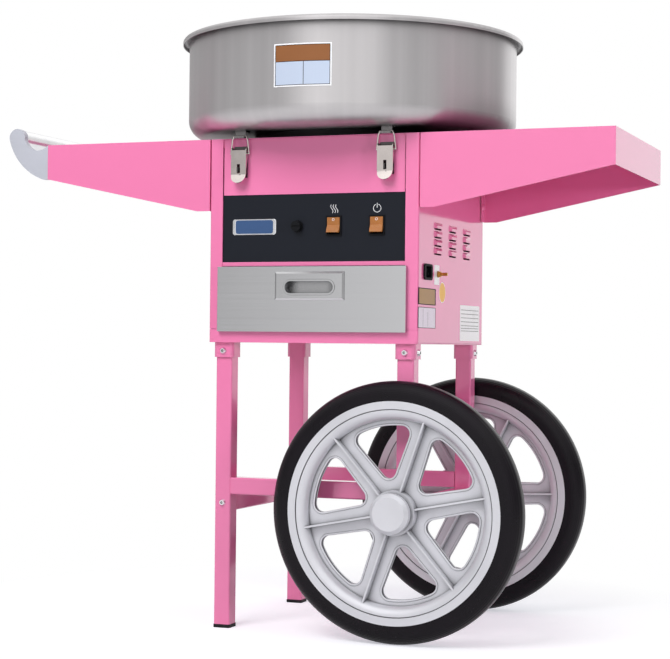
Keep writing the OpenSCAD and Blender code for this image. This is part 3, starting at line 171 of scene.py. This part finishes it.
def length(tree, vector):
    return add(tree, "ShaderNodeVectorMath", {0: vector}, operation="LENGTH").outputs["Value"]


def bumped(tree, height, strength, distance, normal=None):
    values = {"Height": height, "Strength": strength, "Distance": distance}
    if normal:
        values["Normal"] = normal
    return add(tree, "ShaderNodeBump", values).outputs[0]


def finish_shader(tree, shader, colour, rough, normal):
    tree.links.new(colour, shader.inputs["Base Color"])
    tree.links.new(rough, shader.inputs["Roughness"])
    tree.links.new(normal, shader.inputs["Normal"])


# Materials: reaches and bump depths are in metres
CLOUD_GLOSS = 0.03
# Painted shade in holes and corners: the openness at which it is darkest, and its darkest colour as a share
# of the colour
HOLE = 0.25
HOLLOW_SHADE_TONE = 0.05
FINE_BUMP = 0.0002
COARSE_BUMP = 0.0003
RING_BUMP = 0.0004
PINK = "F17EB1"


def varied(tree, pattern, colour, low, high):
    """A colour that a pattern makes darker and lighter."""
    return mixed(tree, spread(tree, pattern, 0.0, 1.0), scaled(colour, low), scaled(colour, high))


def cloudy(tree, rough, vary, pattern, cloud):
    """A roughness that follows a fine pattern and, a little, a cloudy one."""
    fine = spread(tree, pattern, rough - vary, rough + vary)
    return plus(tree, fine, spread(tree, cloud, -CLOUD_GLOSS, CLOUD_GLOSS))


def openness(tree, reach):
    """How much of its surroundings a point sees free within a reach in metres, from 0 to 1."""
    return add(tree, "ShaderNodeAmbientOcclusion", {"Distance": reach}, samples=8).outputs["AO"]


def paint_hollow_shade(tree, shade, colour, reach, most, free=0.75):
    """Painted shade: darkens the colour towards near black in holes and corners that little light reaches."""
    share = spread(tree, openness(tree, reach), most, 0.0, HOLE, free)
    return mixed(tree, share, shade, scaled(colour, HOLLOW_SHADE_TONE))


def coat(name, code, rough, peel, **constants):
    """Powder coat: an even colour with faint specks, a slight orange peel and cloudy gloss."""
    colour = linear(code)
    material, tree, shader = start(name, **constants)
    cloud = noise(tree, scale=5.0, detail=3.0)
    grain = noise(tree, scale=700.0, detail=2.0)
    speck = noise(tree, scale=2600.0, detail=1.0)
    shade = varied(tree, cloud, colour, 0.99, 1.01)
    shade = mixed(tree, spread(tree, speck, 0.0, 0.25), shade, scaled(colour, 0.93))
    gloss = spread(tree, cloud, rough - 0.04, rough + 0.05)
    finish_shader(tree, shader, shade, gloss, bumped(tree, grain, peel, COARSE_BUMP))
    return material


def brushed(name, code, rough, streak, depth=0.06, tone=0.08, vary=0.06, hollow_shade=(0.016, 0.6, 0.75)):
    """Brushed metal: fine lines along the axes with small streak numbers, over cloudy rolling marks, and
    painted shade in holes and corners.
    """
    colour = linear(code)
    material, tree, shader = start(name, Metallic=1.0)
    broad = tuple(s * 0.12 for s in streak)
    aside = (3.1, 1.7, 0.4)
    lines = noise(tree, scale=1.0, detail=3.0, vector=place(tree, streak))
    wide = noise(tree, scale=1.0, detail=2.0, vector=place(tree, broad, aside))
    cloud = noise(tree, scale=7.0, detail=3.0)
    both = plus(tree, times(tree, lines, 0.7), times(tree, wide, 0.3))
    shade = varied(tree, both, colour, 1 - tone, 1 + tone)
    # Painted shade in holes and corners
    shade = paint_hollow_shade(tree, shade, colour, *hollow_shade)
    gloss = cloudy(tree, rough, vary, both, cloud)
    finish_shader(tree, shader, shade, gloss, bumped(tree, lines, depth, FINE_BUMP))
    return material


def spun(name, code, rough):
    """Spun stainless steel: fine rings round the bowl, soft upright bands of painted reflection, and painted
    shade in its corners and on its underside.
    """
    colour = linear(code)
    shaded_below = 0.755
    clear_above = 0.785
    material, tree, shader = start(name, Metallic=1.0, Anisotropic=0.85, Anisotropic_Rotation=0.25)
    along = add(tree, "ShaderNodeTangent", direction_type="RADIAL", axis="Z")
    tree.links.new(along.outputs[0], shader.inputs["Tangent"])
    middle = at(0, 0, 0)
    parts = axes(tree, place(tree, (1, -1, 1), (-middle.x, 0, 0)))
    angle = math_node(tree, "ARCTAN2", parts["X"], parts["Y"])
    round_it = add(tree, "ShaderNodeCombineXYZ", {0: angle}).outputs[0]
    # Painted reflection: the colour is lighter and darker in soft upright bands round the bowl, for the
    # streaks a spun bowl reflects
    bands = noise(tree, scale=9.0, detail=3.0, vector=round_it)
    rings = noise(tree, scale=1.0, detail=3.0, vector=place(tree, (0.5, 0.5, 1300.0)))
    shade = varied(tree, bands, colour, 0.92, 1.05)
    shade = mixed(tree, spread(tree, rings, 0.0, 0.3), shade, scaled(colour, 0.96))
    # Painted shade: darker in the bowl's corners, and darker still low on the bowl, where the cabinet and
    # trays close it in
    shade = paint_hollow_shade(tree, shade, colour, reach=0.1, most=0.7, free=0.9)
    low = spread(tree, parts["Z"], 1.0, 0.0, shaded_below, clear_above)
    under = spread(tree, openness(tree, reach=0.12), low=0.55, high=0.0, first=0.35, last=0.97)
    shade = mixed(tree, times(tree, low, under), shade, scaled(colour, 0.22))
    gloss = cloudy(tree, rough, vary=0.03, pattern=rings, cloud=bands)
    finish_shader(tree, shader, shade, gloss, bumped(tree, rings, strength=0.015, distance=FINE_BUMP))
    return material


def metal(name, code, rough):
    """Plated or machined metal with faint smudges, a fine grain and painted shade in small holes such as
    screw sockets.
    """
    colour = linear(code)
    material, tree, shader = start(name, Metallic=1.0)
    smudge = noise(tree, scale=60.0, detail=4.0)
    grain = noise(tree, scale=1900.0, detail=2.0)
    shade = varied(tree, smudge, colour, 0.93, 1.04)
    # Painted shade in small holes and corners
    shade = paint_hollow_shade(tree, shade, colour, reach=0.004, most=0.85)
    gloss = spread(tree, smudge, rough - 0.05, rough + 0.05)
    finish_shader(tree, shader, shade, gloss, bumped(tree, grain, strength=0.05, distance=FINE_BUMP))
    return material


def plastic(name, code, rough, grain=900.0, depth=0.12, tone=0.05, hollow_shade=0.0, **constants):
    """Moulded plastic with a fine spark texture and slight flow marks, and painted shade in its holes and
    corners when a share for it is given.
    """
    colour = linear(code)
    material, tree, shader = start(name, **constants)
    spark = noise(tree, scale=grain, detail=3.0)
    flow = noise(tree, scale=14.0, detail=3.0)
    shade = varied(tree, flow, colour, 1 - tone, 1 + tone)
    # Painted shade in holes and corners, over a broad and a short reach
    if hollow_shade:
        shade = paint_hollow_shade(tree, shade, colour, reach=0.02, most=hollow_shade)
        shade = paint_hollow_shade(tree, shade, colour, reach=0.003, most=hollow_shade, free=0.95)
    gloss = cloudy(tree, rough, vary=0.05, pattern=spark, cloud=flow)
    finish_shader(tree, shader, shade, gloss, bumped(tree, spark, depth, FINE_BUMP))
    return material


def label(name, code, rough, tone=0.05, **constants):
    """A printed label: smoother than moulded plastic."""
    return plastic(name, code, rough, grain=1500.0, depth=0.04, tone=tone, **constants)


def rubber(name, code, rough, rings=0.0, **constants):
    """Rubber with a dusty bloom; on the tyres, fine rings round the axle."""
    colour = linear(code)
    material, tree, shader = start(name, **constants)
    bloom = noise(tree, scale=22.0, detail=4.0)
    grain = noise(tree, scale=1500.0, detail=2.0)
    shade = varied(tree, bloom, colour, 0.85, 1.2)
    gloss = spread(tree, bloom, rough - 0.06, rough + 0.06)
    normal = bumped(tree, grain, strength=0.2, distance=COARSE_BUMP)
    if rings:
        axle = at(AXLE_X, 0, AXLE_Z)
        radius = length(tree, place(tree, (1, 0, 1), (-axle.x, 0, -axle.z)))
        wave = math_node(tree, "SINE", times(tree, radius, rings))
        normal = bumped(tree, wave, strength=0.25, distance=RING_BUMP, normal=normal)
    finish_shader(tree, shader, shade, gloss, normal)
    return material


def painted_above(name, height):
    """Zinc screws, of which those above a height in metres are painted with the cabinet."""
    fade = 0.001
    material = metal(name, "F2F3F5", 0.22)
    tree = material.node_tree
    shader = tree.nodes["Principled BSDF"]
    colour = shader.inputs["Base Color"].links[0].from_socket
    share = spread(tree, axes(tree, place(tree))["Z"], 0.0, 1.0, height, height + fade)
    tree.links.new(mixed(tree, share, colour, linear(PINK)), shader.inputs["Base Color"])
    tree.links.new(spread(tree, share, 1.0, 0.0, 0.0, 1.0), shader.inputs["Metallic"])
    return material


SHEET_GRAIN = {"streak": (0.8, 3.0, 900.0), "depth": 0.02, "tone": 0.012, "vary": 0.02}
AMBER_GLOW = {"Subsurface_Weight": 0.25, "Subsurface_Radius": (0.004, 0.002, 0.0007)}
pink = coat("pink_powder_coat", PINK, 0.13, peel=0.04, Coat_Weight=0.5, Coat_Roughness=0.06)
steel_bowl = spun("spun_stainless", "CAC7C8", 0.34)
steel_sheet = brushed("brushed_stainless", "D0D0D2", 0.2, **SHEET_GRAIN)
# The pull's copy has deeper painted shade, in its finger slot and round its raised edges
steel_pull = brushed("pull_stainless", "CFCFD1", 0.14, **SHEET_GRAIN, hollow_shade=(0.016, 0.95, 0.85))
steel_plain = brushed("mill_steel", "A8A9AB", 0.38, streak=(600.0, 4.0, 4.0))
chrome = metal("polished_steel", "D6CDC9", 0.12)
# Darker copies of the plated steel, as painted shade: one for the keepers under the bowl, one for the
# latches' bases behind the levers
steel_in_painted_shade = metal("steel_in_painted_shade", "8E8B8B", 0.3)
steel_in_deep_painted_shade = metal("steel_in_deep_painted_shade", "5A5757", 0.3)
zinc = metal("zinc_plate", "ECEDF0", 0.2)
black_panel = coat("panel_black", "181B23", 0.42, peel=0.08, Specular_IOR_Level=0.2)
# The wheels get painted shade in their holes and corners
grey_wheel = plastic("wheel_grey", "D8D8DE", 0.4, hollow_shade=0.6, Metallic=0.4)
grey_horn = plastic("horn_grey", "BABCC6", 0.4)
black_tyre = rubber("tyre_rubber", "0D080F", 0.3, rings=2600.0, Specular_IOR_Level=0.2)
black_rubber = rubber("moulded_rubber", "161518", 0.6, Specular_IOR_Level=0.3)
black_plastic = plastic("black_plastic", "101114", 0.55, Specular_IOR_Level=0.15)
amber = plastic("amber_plastic", "A96C35", 0.24, grain=1400.0, depth=0.04, **AMBER_GLOW)
aluminium = brushed("turned_aluminium", "C8C9CB", 0.3, streak=(4.0, 4.0, 1400.0))
motor_coat = coat("motor_black", "1B1C1F", 0.5, peel=0.2)
brass = metal("brass", "D0A04E", 0.22)
copper = metal("copper", "B8734A", 0.28)
bar_white = metal("handle_tube", "FAFAFC", 0.2)

# The material of each slot, and of the nodes that differ from their slot
FINISHES = {
    "pink_paint": pink, "panel_black": black_panel, "stainless": steel_sheet, "polished_steel": chrome,
    "zinc_steel": zinc, "wheel_grey": grey_wheel, "tyre_black": black_tyre, "rubber_black": black_rubber,
    "plastic_black": black_plastic, "amber_plastic": amber, "horn_grey": grey_horn,
    "spinner_aluminium": aluminium, "motor_black": motor_coat, "brass": brass, "copper": copper,
}
SPECIAL = {
    "bowl": steel_bowl, "drawer_pull": steel_pull, "drawer_bay": steel_plain, "drawer_box": steel_plain,
    "handle_bar": bar_white, "frame_screws": painted_above("frame_screws", height=0.5),
    # The keepers and the latches' bases are darkened as painted shade
    "bowl_keepers": steel_in_painted_shade, "latch_bases": steel_in_deep_painted_shade,
}


def dress(node, material):
    for held in node.material_slots:
        held.material = material
    if not node.material_slots:
        node.data.materials.append(material)


slots = {part["node"]: part["material_slot"] for part in frame["record"]["subparts"]}
for name, node in nodes.items():
    dress(node, SPECIAL.get(name) or FINISHES[slots[name]])

# Folded sheet has slightly round edges, which catch the light
FOLDED = ("drawer_front", "drawer_pull", "tray_left", "tray_right", "front_panel", "base_pan", "top_plate")
WELD_GAP = 0.00001
EDGE_ROUND = 0.0005
EDGE_ANGLE = math.radians(40)
for name in FOLDED:
    weld = nodes[name].modifiers.new("weld", "WELD")
    weld.merge_threshold = WELD_GAP
    edge = nodes[name].modifiers.new("round_edges", "BEVEL")
    edge.width = EDGE_ROUND
    edge.segments = 2
    edge.limit_method = "ANGLE"
    edge.angle_limit = EDGE_ANGLE
    edge.harden_normals = True


# Small pieces: their sizes are in millimetres

def piece(name, shape, materials, body):
    """Makes a piece of a finished shape and lets it ride on a body."""
    mesh = bpy.data.meshes.new(name)
    shape.to_mesh(mesh)
    shape.free()
    for material in materials:
        mesh.materials.append(material)
    made = bpy.data.objects.new(name, mesh)
    scene.collection.objects.link(made)
    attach(made, body)


def rounded(width, height, radius):
    """The outline of a rectangle with round corners, counterclockwise."""
    steps = 8
    points = []
    for corner, (sx, sy) in enumerate(((1, 1), (-1, 1), (-1, -1), (1, -1))):
        for k in range(steps + 1):
            angle = math.pi / 2 * (corner + k / steps)
            points.append((sx * (width / 2 - radius) + radius * math.cos(angle),
                           sy * (height / 2 - radius) + radius * math.sin(angle)))
    return points


def ellipse(width, height, steps):
    turns = [FULL_TURN * k / steps for k in range(steps)]
    return [(width / 2 * math.cos(a), height / 2 * math.sin(a)) for a in turns]


def plate(name, outline, centre, right, materials, thick, border):
    """A thin plate with a soft edge and a flat border round its field: the first material is the border's."""
    out = right.cross(UP)
    # Height as a share of the thickness, and inset, from the back edge to the field
    profile = ((0.0, 0.0), (0.7, 0.0), (1.0, 0.3 * thick), (1.0, border), (0.92, border + 0.2 * thick))
    span = min(max(abs(p[0]) for p in outline), max(abs(p[1]) for p in outline))
    shape = bmesh.new()
    rings = []
    for height, inset in profile:
        share = 1 - inset / span
        ring = []
        for u, v in outline:
            spot = centre + (right * (u * share) + UP * (v * share)) * MM + out * (height * thick * MM)
            ring.append(shape.verts.new(spot))
        rings.append(ring)
    count = len(outline)
    for low, high in zip(rings, rings[1:]):
        for k in range(count):
            shape.faces.new((low[k], low[(k + 1) % count], high[(k + 1) % count], high[k]))
    field = shape.faces.new(rings[-1])
    field.material_index = 1
    shape.faces.new(list(reversed(rings[0])))
    piece(name, shape, materials, "cart")


def strokes(name, lines, width, centre, right, thick, material, body="cart"):
    """Printed lines: each is a list of points and whether it closes, drawn as a raised strip."""
    out = right.cross(UP)
    # The strip's corners: the side of the line, and the height as a share of the thickness
    section = ((-1, 0.0), (-1, 1.0), (1, 1.0), (1, 0.0))
    corners = len(section)
    shape = bmesh.new()
    for points, closed in lines:
        count = len(points)
        rows = []
        for k in range(count):
            before = points[(k - 1) % count] if closed or k else points[k]
            after = points[(k + 1) % count] if closed or k < count - 1 else points[k]
            along = Vector((after[0] - before[0], after[1] - before[1])).normalized()
            across = Vector((-along.y, along.x)) * width / 2
            row = []
            for side, height in section:
                u = points[k][0] + side * across.x
                v = points[k][1] + side * across.y
                row.append(shape.verts.new(centre + (right * u + UP * v + out * (height * thick)) * MM))
            rows.append(row)
        for k in range(count if closed else count - 1):
            a, b = rows[k], rows[(k + 1) % count]
            for j in range(corners):
                shape.faces.new((a[j], a[(j + 1) % corners], b[(j + 1) % corners], b[j]))
        if not closed:
            shape.faces.new(rows[0])
            shape.faces.new(list(reversed(rows[-1])))
    bmesh.ops.recalc_face_normals(shape, faces=shape.faces)
    piece(name, shape, [material], body)


FILM = {"Coat_Weight": 0.7, "Coat_Roughness": 0.08}
print_pale = plastic("printed_pale", "F4F5F8", 0.5, grain=1200.0, depth=0.05)
plate_blue = coat("plate_blue", "35537F", 0.34, peel=0.06)
label_white = label("label_white", "F5F5F8", 0.3, tone=0.02, **FILM)
label_tan = label("label_tan", "B08A58", 0.42)
label_pale = label("label_pale", "DCCFE2", 0.3, tone=0.02, **FILM)
label_yellow = label("label_yellow", "F8C24A", 0.36)
label_brown = label("label_brown", "8A5730", 0.42)
label_blue = label("label_blue", "BFCBE0", 0.42, tone=0.02)

# Pictograms on the control panel: three heat waves, and an open ring with a bar, its angles in degrees
PANEL_Y = -160.1
HEAT_X = 33
POWER_X = 99
PRINT_W = 0.7
PRINT_THICK = 0.15
WAVE_HIGH = 12
WAVE_GAP = 3.7
WAVE_SWING = 1.3
WAVE_LEAN = 2.0
WAVE_STEPS = 16
RING_R = 5.7
RING_FROM = 108
RING_SWEEP = 324
RING_STEPS = 36
rise = [k / WAVE_STEPS for k in range(WAVE_STEPS + 1)]
waves = []
for offset in (-WAVE_GAP, 0.0, WAVE_GAP):
    swing = [offset + WAVE_SWING * math.sin(FULL_TURN * t) + WAVE_LEAN * (0.5 - t) for t in rise]
    waves.append(([(u, WAVE_HIGH * (t - 0.5)) for u, t in zip(swing, rise)], False))
strokes("heat_mark", waves, PRINT_W, at(HEAT_X + 0.3, PANEL_Y, 616.2), RIGHT, PRINT_THICK, print_pale)
sweep = [math.radians(RING_FROM + RING_SWEEP * k / RING_STEPS) for k in range(RING_STEPS + 1)]
open_ring = [(RING_R * math.cos(a), RING_R * math.sin(a)) for a in sweep]
bar = [(0.0, 0.5), (0.0, 4.0), (0.0, 7.6)]
power = [(open_ring, False), (bar, False)]
strokes("power_mark", power, PRINT_W, at(POWER_X, PANEL_Y, 616), RIGHT, PRINT_THICK, print_pale)
plate("name_plate", rounded(69, 23, 4), at(-92, PANEL_Y, 591.5), RIGHT, [zinc, plate_blue],
      thick=0.8, border=1.4)

# The rings on the rockers' pressed upper faces
ROCKER_Y = -163.0
ROCKER_RING_Z = 600.4
ROCKER_RING_W = 0.42
circle = ellipse(3.4, 3.4, steps=24)
for name, x in (("heat", HEAT_X), ("power", POWER_X)):
    strokes(f"{name}_ring", [(circle, True)], ROCKER_RING_W, at(x, ROCKER_Y, ROCKER_RING_Z), RIGHT,
            PRINT_THICK, label_white, f"{name}_switch")

# Plates on the right side
SIDE_X = 162.5
FRONT_PLATES_Y = -121.2
FRONT_PLATES_W = 81
PALE_Z = 460
RULE_THICK = 0.05
plate("side_plate_tan", rounded(FRONT_PLATES_W, 24, 1), at(SIDE_X, FRONT_PLATES_Y, 490.5), BACK,
      [black_plastic, label_tan], thick=0.25, border=1.2)
plate("side_plate_pale", rounded(FRONT_PLATES_W, 30, 1), at(SIDE_X, FRONT_PLATES_Y, PALE_Z), BACK,
      [black_plastic, label_pale], thick=0.25, border=0.7)
plate("earth_plate", ellipse(31, 30.7, steps=48), at(SIDE_X, -49.4, 498.5), BACK,
      [label_white, label_yellow], thick=0.25, border=1.0)
plate("stud_strip", rounded(24, 28.8, 1.5), at(SIDE_X, -76.6, 523.3), BACK,
      [print_pale, label_white], thick=0.3, border=0.6)
dividers = [([(-18, -13), (-18, 0), (-18, 13)], False), ([(4, -13), (4, 0), (4, 8)], False)]
strokes("side_plate_lines", dividers, 0.7, at(SIDE_X + 0.23, FRONT_PLATES_Y, PALE_Z), BACK,
        RULE_THICK, black_plastic)

# The plate at the back of that side has thin ruled lines
DATA_W = 103.7
DATA_Y = 93
DATA_Z = 455.2
RULE_END = DATA_W / 2 - 5
RULES = (20, 14, 8, 2, -4, -8, -12)
plate("data_plate", rounded(DATA_W, 54.6, 1.5), at(SIDE_X, DATA_Y, DATA_Z), BACK,
      [label_white, label_white], thick=0.3, border=1.0)
rules = [([(-RULE_END, v), (0, v), (RULE_END, v)], False) for v in RULES]
strokes("data_plate_rules", rules, 0.8, at(SIDE_X + 0.28, DATA_Y, DATA_Z), BACK, RULE_THICK, motor_coat)


def bowl_plate(name, radius, angle, width, low, high, split, middle, materials):
    """A plate bent round the bowl: a band above the split, two fields below it, thin lines and a border."""
    edge = 2.0
    line = 0.9
    steps = 8
    back_lift = 0.05
    front_lift = 0.4
    inner = width / 2 - edge
    left_step = (middle - line + inner - line) / steps
    right_step = (inner - middle - 1.5 * line) / steps
    columns = [-width / 2, -inner, -inner + line]
    columns += [-inner + line + left_step * k for k in range(1, steps)]
    columns += [middle - line / 2, middle + line / 2]
    columns += [middle + line / 2 + right_step * k for k in range(1, steps)]
    columns += [inner - line, inner, width / 2]
    rows = [low, low + edge, low + edge + line, split - line / 2, split + line / 2]
    rows += [high - edge - line, high - edge, high]
    split_row = 3
    last_row = len(rows) - 2
    last_col = len(columns) - 2
    bar_col = columns.index(middle - line / 2)
    shape = bmesh.new()
    sheets = []
    for lift in (back_lift, front_lift):
        reach = radius + lift
        turns = [angle + u / radius for u in columns]
        grid = []
        for z in rows:
            grid.append([shape.verts.new(at(reach * math.cos(a), reach * math.sin(a), z)) for a in turns])
        sheets.append(grid)
    back, front = sheets
    for r in range(last_row + 1):
        for c in range(last_col + 1):
            face = shape.faces.new((front[r][c], front[r][c + 1], front[r + 1][c + 1], front[r + 1][c]))
            on_line = r in (1, split_row, last_row - 1) or c in (1, last_col - 1)
            if r in (0, last_row) or c in (0, last_col):
                face.material_index = 0
            elif on_line or (c == bar_col and r < split_row):
                face.material_index = 3
            else:
                face.material_index = 1 if r > split_row else 2
    loop = [(0, c) for c in range(last_col + 1)]
    loop += [(r, last_col + 1) for r in range(last_row + 1)]
    loop += [(last_row + 1, c) for c in range(last_col + 1, 0, -1)]
    loop += [(r, 0) for r in range(last_row + 1, 0, -1)]
    for (r, c), (next_r, next_c) in zip(loop, loop[1:] + loop[:1]):
        shape.faces.new((back[r][c], back[next_r][next_c], front[next_r][next_c], front[r][c]))
    bmesh.ops.recalc_face_normals(shape, faces=shape.faces)
    piece(name, shape, materials, "cart")


bowl_plate("bowl_plate", radius=250, angle=math.radians(-86.14), width=85.5, low=781.5, high=842.5, split=817,
           middle=2.1, materials=[label_white, label_brown, label_blue, black_plastic])


def holed_sheet(name, half, corner, hole, low, high):
    """A thin square sheet with blunt corners and a round hole."""
    steps = 96
    turns = [FULL_TURN * k / steps for k in range(steps)]
    outer = []
    for a in turns:
        reach = half / max(abs(math.cos(a)), abs(math.sin(a)))
        outer.append((min(reach, (half - corner) * math.sqrt(2) + corner), a))
    inner = [(hole, a) for a in turns]
    shape = bmesh.new()
    rows = []
    for ring, z in ((outer, low), (outer, high), (inner, high), (inner, low)):
        rows.append([shape.verts.new(at(r * math.cos(a), r * math.sin(a), z)) for r, a in ring])
    for first, second in zip(rows, rows[1:] + rows[:1]):
        for k in range(steps):
            shape.faces.new((first[k], first[(k + 1) % steps], second[(k + 1) % steps], second[k]))
    bmesh.ops.recalc_face_normals(shape, faces=shape.faces)
    piece(name, shape, [black_rubber], "cart")


# A thin dark sheet on the cabinet's top, round the bowl's seat, which keeps the top dark under the bowl
holed_sheet("top_dark_sheet", half=158, corner=4, hole=150, low=722.02, high=722.6)

# Raised beads round the wheels' windows, moulded with the wheels
SPOKES = 6
WEB_HALF = 4
BEAD = 1.6
BEAD_SINK = 0.05
BEAD_STEPS = 4
BEAD_INSET = 0.6 * BEAD
BEAD_RISE = 0.7 * BEAD


def window_outline(in_r, out_r, half, corner):
    """One window between two spokes, as the wheel has it, seen along the axle."""
    corner_steps = 8
    outer_steps = 16
    inner_steps = 12
    in_c = in_r + corner
    out_c = out_r - corner
    wide = math.pi / SPOKES - math.asin((half + corner) / out_c)
    far = (out_c * math.cos(wide), out_c * math.sin(wide))
    lean = math.atan2(far[1], far[0] - in_c) + math.pi / 2
    upper = [(far, corner, lean + (wide - lean) * k / corner_steps) for k in range(corner_steps + 1)]
    outer = [((0, 0), out_r, wide - 2 * wide * k / outer_steps) for k in range(1, outer_steps)]
    near = (far[0], -far[1])
    lower = [(near, corner, -wide + (wide - lean) * k / corner_steps) for k in range(corner_steps + 1)]
    inner_sweep = FULL_TURN - 2 * lean
    inner = [((in_c, 0), corner, -lean - inner_sweep * k / inner_steps) for k in range(inner_steps + 1)]
    return [(c[0] + r * math.cos(a), c[1] + r * math.sin(a)) for c, r, a in upper + outer + lower + inner]


def wheel_beads(name, side, phase, body):
    """Half-round beads on both faces of a wheel: side is -1 in front, phase turns its spokes, in degrees."""
    shape = bmesh.new()
    outline = window_outline(in_r=46, out_r=125, half=14.5, corner=14)
    count = len(outline)
    for k in range(SPOKES):
        spin = math.radians(phase + 360 / SPOKES * (k + 0.5))
        for face in (-1, 1):
            rows = []
            for j in range(count):
                here = Vector(outline[j])
                along = (Vector(outline[(j + 1) % count]) - Vector(outline[j - 1])).normalized()
                across = Vector((along.y, -along.x))
                row = []
                for step in range(BEAD_STEPS + 1):
                    angle = math.pi * step / BEAD_STEPS
                    flat = here - across * (BEAD * math.cos(angle) - BEAD_INSET)
                    lift = WEB_HALF + BEAD_RISE * math.sin(angle) - BEAD_SINK
                    u = flat.x * math.cos(spin) - flat.y * math.sin(spin)
                    v = flat.x * math.sin(spin) + flat.y * math.cos(spin)
                    spot = at(AXLE_X + u, side * WHEEL_Y + face * lift, AXLE_Z - side * v)
                    row.append(shape.verts.new(spot))
                rows.append(row)
            for j in range(count):
                a, b = rows[j], rows[(j + 1) % count]
                for m in range(BEAD_STEPS):
                    shape.faces.new((a[m], a[m + 1], b[m + 1], b[m]))
                shape.faces.new((a[BEAD_STEPS], a[0], b[0], b[BEAD_STEPS]))
    bmesh.ops.recalc_face_normals(shape, faces=shape.faces)
    for face in shape.faces:
        face.smooth = True
    piece(name, shape, [grey_wheel], body)


wheel_beads("beads_front", -1, 11, "front_wheel")
wheel_beads("beads_rear", 1, -2, "rear_wheel")

# Floor, in metres: a white sheet that keeps the soft shadow near the cart and is plain white further out
FLOOR_HALF = 12
SHADOW_FULL = 0.3
SHADOW_GONE = 0.68
FLOOR_GLOW = 0.5
SHADOW_TINT = (0.92, 0.92, 1, 1)
MIRRORED_SHARE = 0.5
ground, tree, shader = start("floor_white", Base_Color=(0.7, 0.7, 0.71, 1), Roughness=0.8)
path = add(tree, "ShaderNodeLightPath").outputs
reach = length(tree, add(tree, "ShaderNodeNewGeometry").outputs["Position"])
far = spread(tree, reach, 0.0, 1.0, SHADOW_FULL, SHADOW_GONE)
mirrored = times(tree, path["Is Glossy Ray"], MIRRORED_SHARE)
direct = math_node(tree, "MAXIMUM", path["Is Camera Ray"], mirrored)
glow_level = times(tree, direct, FLOOR_GLOW)
glow = add(tree, "ShaderNodeEmission", {"Color": SHADOW_TINT, "Strength": glow_level})
lit = add(tree, "ShaderNodeAddShader", {0: shader.outputs[0], 1: glow.outputs[0]})
white = add(tree, "ShaderNodeEmission", {"Strength": 1.0})
share = times(tree, far, direct)
both = add(tree, "ShaderNodeMixShader", {0: share, 1: lit.outputs[0], 2: white.outputs[0]})
tree.links.new(both.outputs[0], tree.nodes["Material Output"].inputs["Surface"])
sheet = bmesh.new()
bmesh.ops.create_grid(sheet, x_segments=4, y_segments=4, size=FLOOR_HALF)
floor_mesh = bpy.data.meshes.new("floor")
sheet.to_mesh(floor_mesh)
sheet.free()
floor_mesh.materials.append(ground)
floor = bpy.data.objects.new("floor", floor_mesh)
scene.collection.objects.link(floor)

# Light: a pale room and a white background. What shines sees a window and three strips behind the camera,
# a brighter wall behind the cart and a bright ceiling. The spans are parts of a direction, from -1 to 1.
ROOM_LEVEL = 0.36
WALL_LEVEL = 0.47
BACK_WALL_LEVEL = 1.1
CEILING_LEVEL = 0.6
WINDOW_LEVEL = 0.5
STRIP_LEVEL = 0.3
STRIPS = ((-0.1, 0.05), (0.12, 0.03), (0.56, 0.06))
world = bpy.data.worlds.new("studio")
scene.world = world
world.use_nodes = True
tree = world.node_tree
path = add(tree, "ShaderNodeLightPath").outputs
open_view = math_node(tree, "MAXIMUM", path["Is Camera Ray"], path["Is Transmission Ray"])
parts = axes(tree, add(tree, "ShaderNodeTexCoord").outputs["Generated"])
east, north, high = parts["X"], parts["Y"], parts["Z"]
behind_camera = spread(tree, north, low=1.0, high=0.0, first=-0.6, last=-0.2)
west_edge = spread(tree, east, low=0.0, high=WINDOW_LEVEL, first=-0.44, last=-0.3)
east_edge = spread(tree, east, low=1.0, high=0.0, first=0.42, last=0.65)
window = times(tree, times(tree, west_edge, east_edge), behind_camera)
walls = spread(tree, north, low=WALL_LEVEL, high=BACK_WALL_LEVEL, first=0.8, last=0.94)
ceiling = spread(tree, high, low=0.0, high=CEILING_LEVEL, first=0.25, last=0.65)
shine = plus(tree, plus(tree, window, walls), ceiling)
for strip_east, half in STRIPS:
    off = math_node(tree, "ABSOLUTE", math_node(tree, "SUBTRACT", east, strip_east))
    strip = times(tree, spread(tree, off, STRIP_LEVEL, 0.0, first=half, last=2 * half), behind_camera)
    shine = plus(tree, shine, strip)
room = tree.nodes["Background"]
room.inputs["Color"].default_value = (1, 1, 1, 1)
plain = spread(tree, open_view, ROOM_LEVEL, 1.0, 0.0, 1.0)
gleam = times(tree, path["Is Glossy Ray"], math_node(tree, "SUBTRACT", shine, ROOM_LEVEL))
tree.links.new(plus(tree, plain, gleam), room.inputs["Strength"])


def softbox(name, spot, target, size, power, tall=1.0):
    """A soft rectangular lamp in metres and watts, which isn't seen in what shines."""
    lamp = bpy.data.lights.new(name, "AREA")
    lamp.shape = "RECTANGLE"
    lamp.size = size
    lamp.size_y = size * tall
    lamp.energy = power
    made = bpy.data.objects.new(name, lamp)
    made.location = spot
    made.rotation_euler = (Vector(target) - Vector(spot)).to_track_quat("-Z", "Y").to_euler()
    made.visible_glossy = False
    scene.collection.objects.link(made)


softbox("key", spot=(-0.5, -2.4, 2.7), target=(0, 0, 0.5), size=1.6, power=75)
softbox("side", spot=(3.3, -1.35, 0.85), target=(0, 0, 0.6), size=0.4, power=28)
softbox("top", spot=(0.0, 0.4, 3.2), target=(0, 0, 0), size=2.6, power=12)
softbox("rim", spot=(1.5, 3.1, 0.65), target=(0, 0, 0.6), size=1.4, power=8, tall=0.6)
